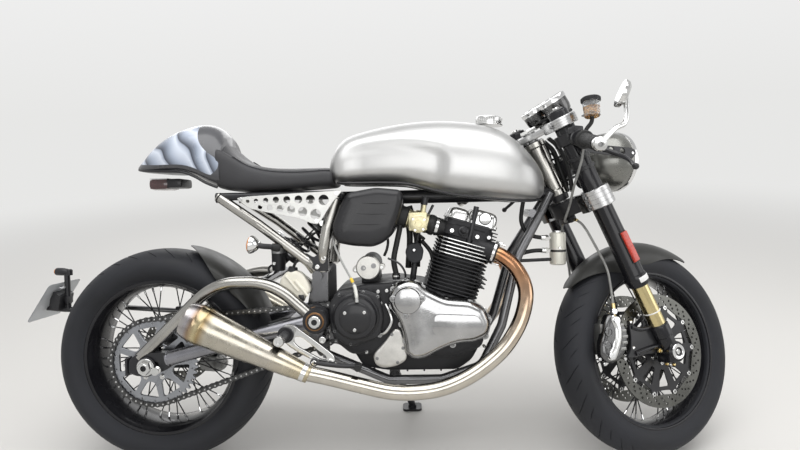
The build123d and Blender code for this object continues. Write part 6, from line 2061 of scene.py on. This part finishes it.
def make_calipers():
    """Radial calipers: a dark face with a bright rib, a cast outer half, bolts and a banjo."""
    calipers = Shape("dark_chrome")
    for side in (-1, 1):
        face = side * 99
        pillow(calipers.use("dark_chrome"), CALIPER, side * 72.5, 24, side, 12, 7, 110, 0)
        pillow(calipers.use("polished"), CALIPER_RIB, side * 88, 14, side, 8, 6, 90, 0)
        inner = [(1204, 322), (1206, 370), (1230, 398), (1272, 386), (1280, 340), (1254, 300), (1216, 298)]
        calipers.use("caliper").flat([softened(inner, 10, 4)], 59 if side > 0 else -42.2, 16, 2)
        # The bridge over the disc's edge
        calipers.box((1216, side * 64, 346), (26, 34, 84), 4)
        # Cast outer half with its row of ribs
        for k in range(5):
            calipers.use("caliper").box((1270 - 3.2 * abs(k - 2) ** 1.6, side * 93, 318 + 16 * k),
                (20, 10, 9), 2.4)
        for x, z in ((1212, 330), (1218, 366)):
            calipers.use("dark_chrome").turned((x, face - side * 6, z), (0, side, 0),
                [(0, 14), (4, 14), (5.4, 12.5), (5.4, 9), (3, 8), (3, 0.1)], 36)
        for x, z in ((1243, 396), (1214, 303)):
            calipers.use("chrome").turned((x, face - side * 2, z), (0, side, 0),
                [(0, 10), (7, 10), (8, 9), (8, 7.4)], 32)
            calipers.use("satin_black").turned((x, face + side * 3, z), (0, side, 0),
                [(0, 7.4), (2, 7.2), (2, 0.1)], 24)
            calipers.use("chrome").bolt((x, face + side * 4.4, z), (0, side, 0), 3.6, 2)
        for z in (316, 386):
            calipers.use("chrome").bolt((1292, side * 92, z), (1, 0, 0.3), 7, 9)
        calipers.screws("chrome", ((1196, 282), (1182, 296), (1268, 290)), side * 88, side, 4.5, 5)
        calipers.use("chrome").turned((1243, face - side * 10, 420), (0, side, 0),
            [(0, 9), (9, 9), (11, 7), (11, 0.1)], 24)
        calipers.use("brass").rod((1243, face - side * 5, 426), (1243, face - side * 5, 442), 5.5, 16)
    calipers.piece("caliper_bodies", "steering", FORK, 34, ["front_calipers"])


def make_headlamp():
    """Headlamp shell, rim, glass, reflector and ears."""
    lamp = Shape("lamp_grey")
    back = Vector((1274, 0, 872))
    shell = [(0, 0.1), (1, 14), (5, 30), (12, 46), (24, 62), (42, 76), (62, 85),
        (86, 90), (112, 91), (114, 90)]
    lamp.turned(back, (1, 0, 0), shell, 80)
    lamp.use("chrome").turned(back, (1, 0, 0),
        [(111, 89), (112, 92), (118, 93), (124, 92), (128, 88), (128, 84), (118, 84), (114, 87)], 80)
    lamp.use("lens_clear").turned(back, (1, 0, 0),
        [(122, 85), (127, 84), (133, 64), (137, 36), (138, 0.1)], 64)
    lamp.use("chrome").turned(back, (1, 0, 0), [(121, 84), (106, 76), (86, 56), (72, 28), (70, 0.1)], 64)
    lamp.use("lens_clear").turned(back + Vector((72, 0, 0)), (1, 0, 0),
        [(0, 9), (18, 9), (26, 6), (28, 0.1)], 24)
    for side in (-1, 1):
        lamp.use("satin_black").turned((1366, side * 88, 872), (0, side, 0),
            [(0, 15), (6, 15), (8, 13), (8, 0.1)], 32)
        lamp.use("chrome").bolt((1366, side * 96, 872), (0, side, 0), 8, 6, "hex")
        bracket = [(1378, 866), (1380, 878), (1368, 888), (1196, 892), (1188, 880), (1196, 866), (1358, 858)]
        lamp.use("satin_black").flat([softened(bracket, 6, 4), ring_points((1330, 876), 9, 20),
            ring_points((1290, 878), 9, 20), ring_points((1250, 879), 9, 20)], side * 103 + 3, 4, 0.8)
        for along in (880, 912):
            ring = fork_point(along, FORK_OFFSET, side * FORK_HALF)
            lamp.turned(ring, STEER_UP, [(0, 28.2), (0, 31), (1, 32), (9, 32), (10, 31), (10, 28.2)], 48)
    lamp.piece("head_light", "steering", FORK, 34, ["headlamp"])


def make_gauges():
    """Two dark cups with chrome rims and plain scales under glass."""
    gauges = Shape("chrome")
    tilt = Vector((-26, 0, 38)).normalized()
    across = Vector((0, 1, 0))
    over = tilt.cross(across)
    for side in (-1, 1):
        base = Vector((1172, side * 45, 992))
        gauges.use("dark_chrome").turned(base, tilt,
            [(0, 22), (2, 30), (8, 35.5), (20, 38.5), (45, 39.5), (45, 36)], 64)
        gauges.use("chrome").turned(base, tilt,
            [(45, 36), (45, 40.5), (46, 41.5), (56, 41.5), (59, 40), (59.5, 37), (56, 36), (50, 36)], 64)
        gauges.use("satin_black").turned(base + tilt * 50, tilt, [(0, 36.4), (1, 36.4), (1, 0.1)], 48)
        face = base + tilt * 51.2
        for k in range(31):
            angle = radians(-130 + 260 * k / 30)
            ray = across * sin(angle) + over * -cos(angle)
            long = 7 if k % 5 == 0 else 4
            gauges.use("label_white").tube([face + ray * (34 - long), face + ray * 34],
                0.5 if k % 5 else 0.9, 4)
        needle = across * sin(radians(-118)) + over * -cos(radians(-118))
        gauges.use("lens_red").tube([face + tilt * 1.6 - needle * 6,
            face + tilt * 1.6 + needle * 26], [1.6, 0.5], 6)
        gauges.use("satin_black").turned(face, tilt, [(0, 5), (3, 4.5), (3, 0.1)], 24)
        gauges.use("lens_clear").turned(base + tilt * 56.5, tilt,
            [(0, 36.2), (1, 36), (2, 26), (2.6, 0.1)], 48)
        gauges.use("hose_black").rod(base - tilt * 16, base + tilt * 2, 13, 24)
    bracket = [(1146, 986), (1196, 1000), (1198, 1006), (1190, 1010), (1140, 994)]
    gauges.use("satin_black").flat([softened(bracket, 3, 3)], 66, 132, 1)
    gauges.use("satin_black").rod((1168, 0, 1000), (1152, 0, 966), 8, 20)
    for k in range(3):
        gauges.use("chrome").turned(Vector((1150, (k - 1) * 16, 1004)), tilt, [(0, 5), (3, 5), (4, 4)], 20)
        gauges.use(("lens_red", "lens_amber", "lens_clear")[k]).turned(Vector((1150, (k - 1) * 16, 1004)) +
            tilt * 3.6, tilt, [(0, 4), (1.5, 3), (2, 0.1)], 16)
    gauges.piece("twin_gauges", "steering", FORK, 34, ["gauges"])


def bar_ends(side):
    """Inner and outer end of a clip-on bar."""
    return Vector((1136, side * 134, 898)), Vector((1033, side * 335, 812))


def make_bars():
    """Clip-on bars with ribbed grips, switch pods and ball-ended levers."""
    bars = Shape("satin_black")
    for side in (-1, 1):
        y = side * FORK_HALF
        bars.use("satin_black").turned(fork_point(962, FORK_OFFSET, y), STEER_UP, [
            (0, 28.2), (0, 37), (1.5, 38.5), (30.5, 38.5), (32, 37), (32, 28.2)], 56)
        inner, outer = bar_ends(side)
        run = (outer - inner).normalized()
        bars.use("satin_black").rod(inner - run * 14, outer, 11, 24)
        length = (outer - inner).length
        grip = [(length - 132, 12), (length - 132, 23), (length - 129, 24),
            (length - 126, 22), (length - 124, 17)]
        for k in range(24):
            place = length - 122 + k * 4.8
            grip += [(place, 16.4), (place + 1.2, 17.4), (place + 3.4, 17.4), (place + 4.6, 16.4)]
        grip += [(length - 4, 17.5), (length - 2, 18.5), (length, 17), (length, 11)]
        bars.use("hose_black").turned(inner, run, grip, 36)
        # Switch pod and lever perch
        pod = inner + run * 44
        bars.use("satin_black").turned(pod - run * 16, run,
            [(0, 12), (0, 20), (3, 22), (30, 22), (34, 20), (34, 12)], 32)
        bars.box(pod + Vector((-6, 0, 20)), (30, 30, 18), 4)
        perch = inner + run * 20
        bars.turned(perch - run * 8, run, [(0, 11), (0, 17), (2, 18.5), (14, 18.5), (16, 17), (16, 11)], 32)
        forward = Vector((40, side * 6, -30)).normalized()
        bars.box(perch + forward * 24, (40, 18, 16), 4)
        bars.use("grey_metal").rod(perch + forward * 34 - Vector((0, 0, 10)),
            perch + forward * 34 + Vector((0, 0, 14)), 5, 16)
        lever = spline([(1158, side * 160, 868), (1176, side * 178, 856), (1196, side * 216, 830),
            (1198, side * 244, 812), (1188, side * 272, 793), (1170, side * 300, 772)], 6)
        radii = [7.5 - 2.4 * i / (len(lever) - 1) for i in range(len(lever))]
        bars.use("satin_black").tube(lever, radii, 16)
        ball = []
        for k in range(9):
            ball.append((8.4 * (1 - cos(pi * k / 8)), 8.4 * sin(pi * k / 8)))
        bars.turned(Vector((1176, side * 294, 778)), Vector((-20, side * 34, -26)), ball, 24)
    bars.piece("clip_on_bars", "steering", FORK, 34, ["handlebars"])


def make_reservoir():
    """Fluid reservoir of clear plastic with a ribbed cap."""
    pot = Shape("fluid")
    foot = Vector((1164, -180, 940))
    pot.use("fluid").turned(foot, (0, 0, 1), [(0, 0.1), (0, 17), (3, 20), (28, 21), (28, 0.1)], 40)
    pot.use("lens_clear").turned(foot, (0, 0, 1),
        [(0, 17.5), (0, 19), (3, 21.6), (44, 22.4), (44, 21.2), (3, 20.4)], 40)
    pot.use("satin_black").turned(foot, (0, 0, 1),
        [(42, 22), (42, 25), (44, 25.5), (52, 25.5), (54, 24), (55, 20), (55, 0.1)], 48)
    for k in range(24):
        angle = 2 * pi * k / 24
        ridge = foot + Vector((25.4 * cos(angle), 25.4 * sin(angle), 43))
        pot.rod(ridge, ridge + Vector((0, 0, 9)), 1.2, 6, 0.3)
    pot.use("polished").box(foot + Vector((2, 8, 12)), (26, 44, 5), 1.5)
    pot.use("hose_black").tube(spline([(1164, -180, 941), (1162, -176, 926), (1154, -166, 912),
        (1148, -158, 898)]), 5.5, 14)
    pot.piece("fluid_pot", "steering", FORK, 34, ["fluid_reservoir"])


def make_mirrors():
    """Round mirrors on bent arms at the bar ends."""
    mirrors = Shape("polished")
    for side in (-1, 1):
        inner, end = bar_ends(side)
        run = (end - inner).normalized()
        mirrors.use("polished").turned(end, run,
            [(0, 12), (0, 15), (2, 17), (16, 17), (20, 14), (21, 8), (21, 0.1)], 40)
        mirrors.use("grey_metal").bolt(end + run * 20, run, 6, 4)
        arm = spline([(1026, side * 352, 806), (1044, side * 353, 824), (1072, side * 353, 846),
            (1098, side * 352, 858), (1110, side * 352, 878), (1114, side * 352, 912)], 6)
        mirrors.use("polished").tube(arm, [7.5, *[6.5] * (len(arm) - 2), 6], 18)
        # The glass looks inward, so that its edge is to the camera
        face = Vector((-16, side * -7.5, 8)).normalized()
        centre = Vector((1121, side * 352, 930))
        mirrors.use("polished").turned(centre, face,
            [(0, 12), (3, 26), (8, 32), (15, 34), (18, 34), (19, 33), (19, 31)], 56)
        mirrors.use("mirror_glass").turned(centre + face * 17, face, [(0, 31.5), (0.6, 31.5), (0.6, 0.1)], 56)
        mirrors.use("polished").rod((1114, side * 352, 906), centre + face * 5, 6, 16)
    mirrors.piece("bar_end_mirrors", "steering", FORK, 34, ["mirrors"])


def make_fender():
    """A short front fender: a thin crowned shell whose ends are cut to points, on one stay a side."""
    fender = Shape("carbon")
    start, end = radians(58), radians(143)
    rows, columns = 44, 26
    half_width, side_r, crown, full = 62, 262, 58, 66
    outside, inside = [], []
    for i in range(rows + 1):
        share = i / rows
        angle = start + (end - start) * share
        # The sides get shorter towards both tips
        reach = full * min(1, 0.52 + 1.3 * share) * min(1, 0.14 + 2.6 * (1 - share))
        for store, grow in ((outside, 0.0), (inside, -3.0)):
            line = []
            for j in range(columns + 1):
                t = -1 + 2 * j / columns
                swing = t * reach / full * radians(104)
                y = half_width * sin(swing) + grow * sin(swing)
                radius = side_r + (crown + grow) * cos(swing)
                line.append(wheel_point(FRONT_AXLE, radius, angle, y))
            store.append(line)
    fender.shell(outside, inside)
    for side in (-1, 1):
        fender.use("satin_black").tube(spline([(1352, side * 70, 556), (1352, side * 76, 520),
            (1350, side * 84, 480), (1346, side * 88, 452)]), 5, 12)
        fender.use("polished").bolt((1352, side * 69, 540), (0, side, 0), 5, 4)
        fender.use("satin_black").box((1372, side * 72, 500), (24, 4, 60), 1.5)
    fender.piece("front_fender_shell", "steering", FORK, 40, ["front_fender"])


# Leads from the gauges to the lower yoke: start and end along the steering axis, ahead, across, radius
LOOM = [(1002, 838, 40, -34, 6), (1004, 832, 46, -20, 4.5), (996, 836, 38, -8, 7), (1000, 834, 48, 6, 5),
        (1002, 836, 42, 20, 6), (990, 840, 50, 34, 4.5), (970, 860, 58, -26, 5), (960, 850, 60, 12, 6)]


def make_loom():
    """Wires and hoses that fill the gap between the two yokes, with the horn bracket and its bands."""
    loom = Shape("hose_black")
    for high, low, ahead, y, size in LOOM:
        middle = (high + low) / 2
        route = [fork_point(high, ahead - 8, y * 0.8), fork_point(high - 34, ahead + 6, y), fork_point(middle,
            ahead, y * 1.25), fork_point(low + 30, ahead - 4, y), fork_point(low, ahead - 10, y * 0.7)]
        loom.use("hose_black" if size > 4.5 else "hose_grey").tube(spline(route, 8), size, 14)
    loom.use("satin_black").box(fork_point(900, 52, 0), (26, 62, 54), 4, FORK_TURN)
    for along in (868, 940):
        loom.use("wire").box(fork_point(along, 46, 0), (34, 76, 6), 2, FORK_TURN)
    loom.use("satin_black").turned(fork_point(846, 60, -46), -STEER_FORWARD,
        [(0, 14), (4, 18), (10, 18), (12, 14)], 32)
    loom.piece("steering_loom", "steering", FORK, 40)


make_fork_legs()
make_yokes()
make_loom()
make_calipers()
make_headlamp()
make_gauges()
make_bars()
make_reservoir()
make_mirrors()
make_fender()

# Hoses and the clutch cable, each one smooth curve with the model's own points

ENGINE_HOSES = [
    [(1126, -30, 640), (1098, -26, 641), (1070, -20, 654), (1055, -18, 684), (1056, -23, 718), (1062, -32, 756)],
    [(1126, -30, 603), (1098, -31, 605), (1064, -34, 600), (1030, -38, 588), (990, -40, 578), (930, -41, 576)]]
CLUTCH_CABLE = [(522, -80, 768), (511, -88, 737), (509, -95, 700), (514, -108, 663), (525, -123, 628),
    (545, -135, 588), (568, -148, 550), (583, -156, 520), (585, -160, 488)]
# Along the steering axis, forward of it, and to the left
HOSE_DOWN = [(950, 22, -158), (915, 8, -146), (880, -12, -124), (845, -24, -94), (806, -28, -60),
    (778, -40, -34), (762, -34, -12), (761, -12, -3)]
HOSE_SPLIT = [(760, -6, 18), (750, -6, 40), (722, -8, 54), (685, -12, 62), (645, -17, 72), (600, -24, 82),
    (560, -42, 86), (525, -59, 88), (478, -80, 88)]


def make_cord(name, points, radius, paint, body, place=None):
    """A held hose or cable, whole, which replaces its plain solid."""
    curve = bpy.data.curves.new(name, "CURVE")
    curve.dimensions = "3D"
    run = curve.splines.new("NURBS")
    run.points.add(len(points) - 1)
    for spot, point in zip(run.points, points):
        spot.co = (*((place or BIKE) @ Vector(point)), 1)
    run.order_u = 3
    run.use_endpoint_u = True
    curve.resolution_u = 16
    cord = bpy.data.objects.new(name, curve)
    bpy.context.scene.collection.objects.link(cord)
    line = bpy.data.meshes.new_from_object(cord)
    path = [(place or BIKE).inverted() @ vert.co for vert in line.vertices]
    curve.bevel_depth = radius * 0.001
    curve.bevel_resolution = 6
    curve.use_fill_caps = True
    curve.materials.append(PAINT[paint])
    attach(cord, body)
    return cord, path


def sleeve(shape, path, first, last, radius, ends=0.7):
    """A sleeve over part of a cord, with tapered ends."""
    chosen = path[int(first * (len(path) - 1)):int(last * (len(path) - 1)) + 1]
    shape.tube(chosen, [radius * ends, *[radius] * (len(chosen) - 2), radius * ends], 20)


def make_engine_hoses():
    """Two hoses from the canister to the engine, with their unions."""
    fittings = Shape("brass")
    for number, route in enumerate(ENGINE_HOSES):
        cord = make_cord(f"engine_hose_{number + 1}", route, 6, "hose_black",
            "chassis")[0]
        if not number:
            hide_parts("engine_hoses")
        start, ahead = Vector(route[0]), (Vector(route[1]) - Vector(route[0])).normalized()
        fittings.use("polished").turned(start + ahead * 2, ahead,
            [(0, 6.2), (0, 7.6), (12, 7.6), (13, 6.2)], 32)
        fittings.use("polished").turned(start + ahead * -3, ahead, [(0, 6), (0, 9), (6, 9), (6, 6)], 6)
    fittings.piece("hose_ends", "chassis", BIKE, 34)


def make_clutch_cable():
    """Clutch cable with its marker and its rubber boot."""
    cord, path = make_cord("clutch_cable_line", CLUTCH_CABLE, 3, "cable_cover", "chassis")
    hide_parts("clutch_cable")
    sleeves = Shape("marker_yellow")
    sleeve(sleeves.use("marker_yellow"), path, 0.80, 0.855, 4.4)
    sleeve(sleeves.use("cable_boot"), path, 0.88, 0.99, 4.8, 0.6)
    sleeves.use("polished").turned(Vector(CLUTCH_CABLE[-1]) + Vector((0, 0, -3)), (0, 0, 1),
        [(0, 3), (0, 6), (10, 6), (11, 4.4)], 24)
    sleeves.piece("cable_sleeves", "chassis", BIKE, 44)


def make_brake_hoses():
    """One hose from the lever to the splitter, and one to each caliper."""
    fittings = Shape("brass")
    down = [fork_point(along, offset, y) for along, offset, y in HOSE_DOWN]
    cord = make_cord("brake_hose_down", down, 3.5, "hose_grey", "steering", FORK)[0]
    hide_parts("brake_hoses")
    for side, name in ((-1, "right"), (1, "left")):
        route = [fork_point(along, offset, side * y) for along, offset, y in HOSE_SPLIT]
        make_cord(f"brake_hose_{name}", route, 3.5, "hose_grey", "steering", FORK)
        end, ahead = route[-1], (route[-1] - route[-2]).normalized()
        fittings.use("brass").turned(end - ahead * 20, ahead,
            [(0, 3.6), (1, 4.6), (13, 4.6), (14, 6), (20, 6), (20, 3.6)], 24)
        start, ahead = route[0], (route[1] - route[0]).normalized()
        fittings.use("brass").turned(start + ahead * 1, ahead,
            [(0, 3.6), (0, 5.6), (6, 5.6), (7, 4.6), (16, 4.6), (17, 3.6)], 24)
    # Splitter block under the lower yoke, where the three hoses meet
    along, offset, y = HOSE_SPLIT[0]
    fittings.use("satin_black").box(fork_point(along + 2, offset - 4, 0),
        (22, 2 * abs(y) + 18, 18), 3, FORK_TURN)
    fittings.rod(fork_point(along, offset - 6, 0), fork_point(776, offset - 6, 0), 7, 20)
    fittings.use("polished").rod(down[-1], fork_point(along + 2, offset - 6, 0), 5, 16)
    fittings.piece("brake_hose_ends", "steering", FORK, 34)


make_engine_hoses()
make_clutch_cable()
make_brake_hoses()
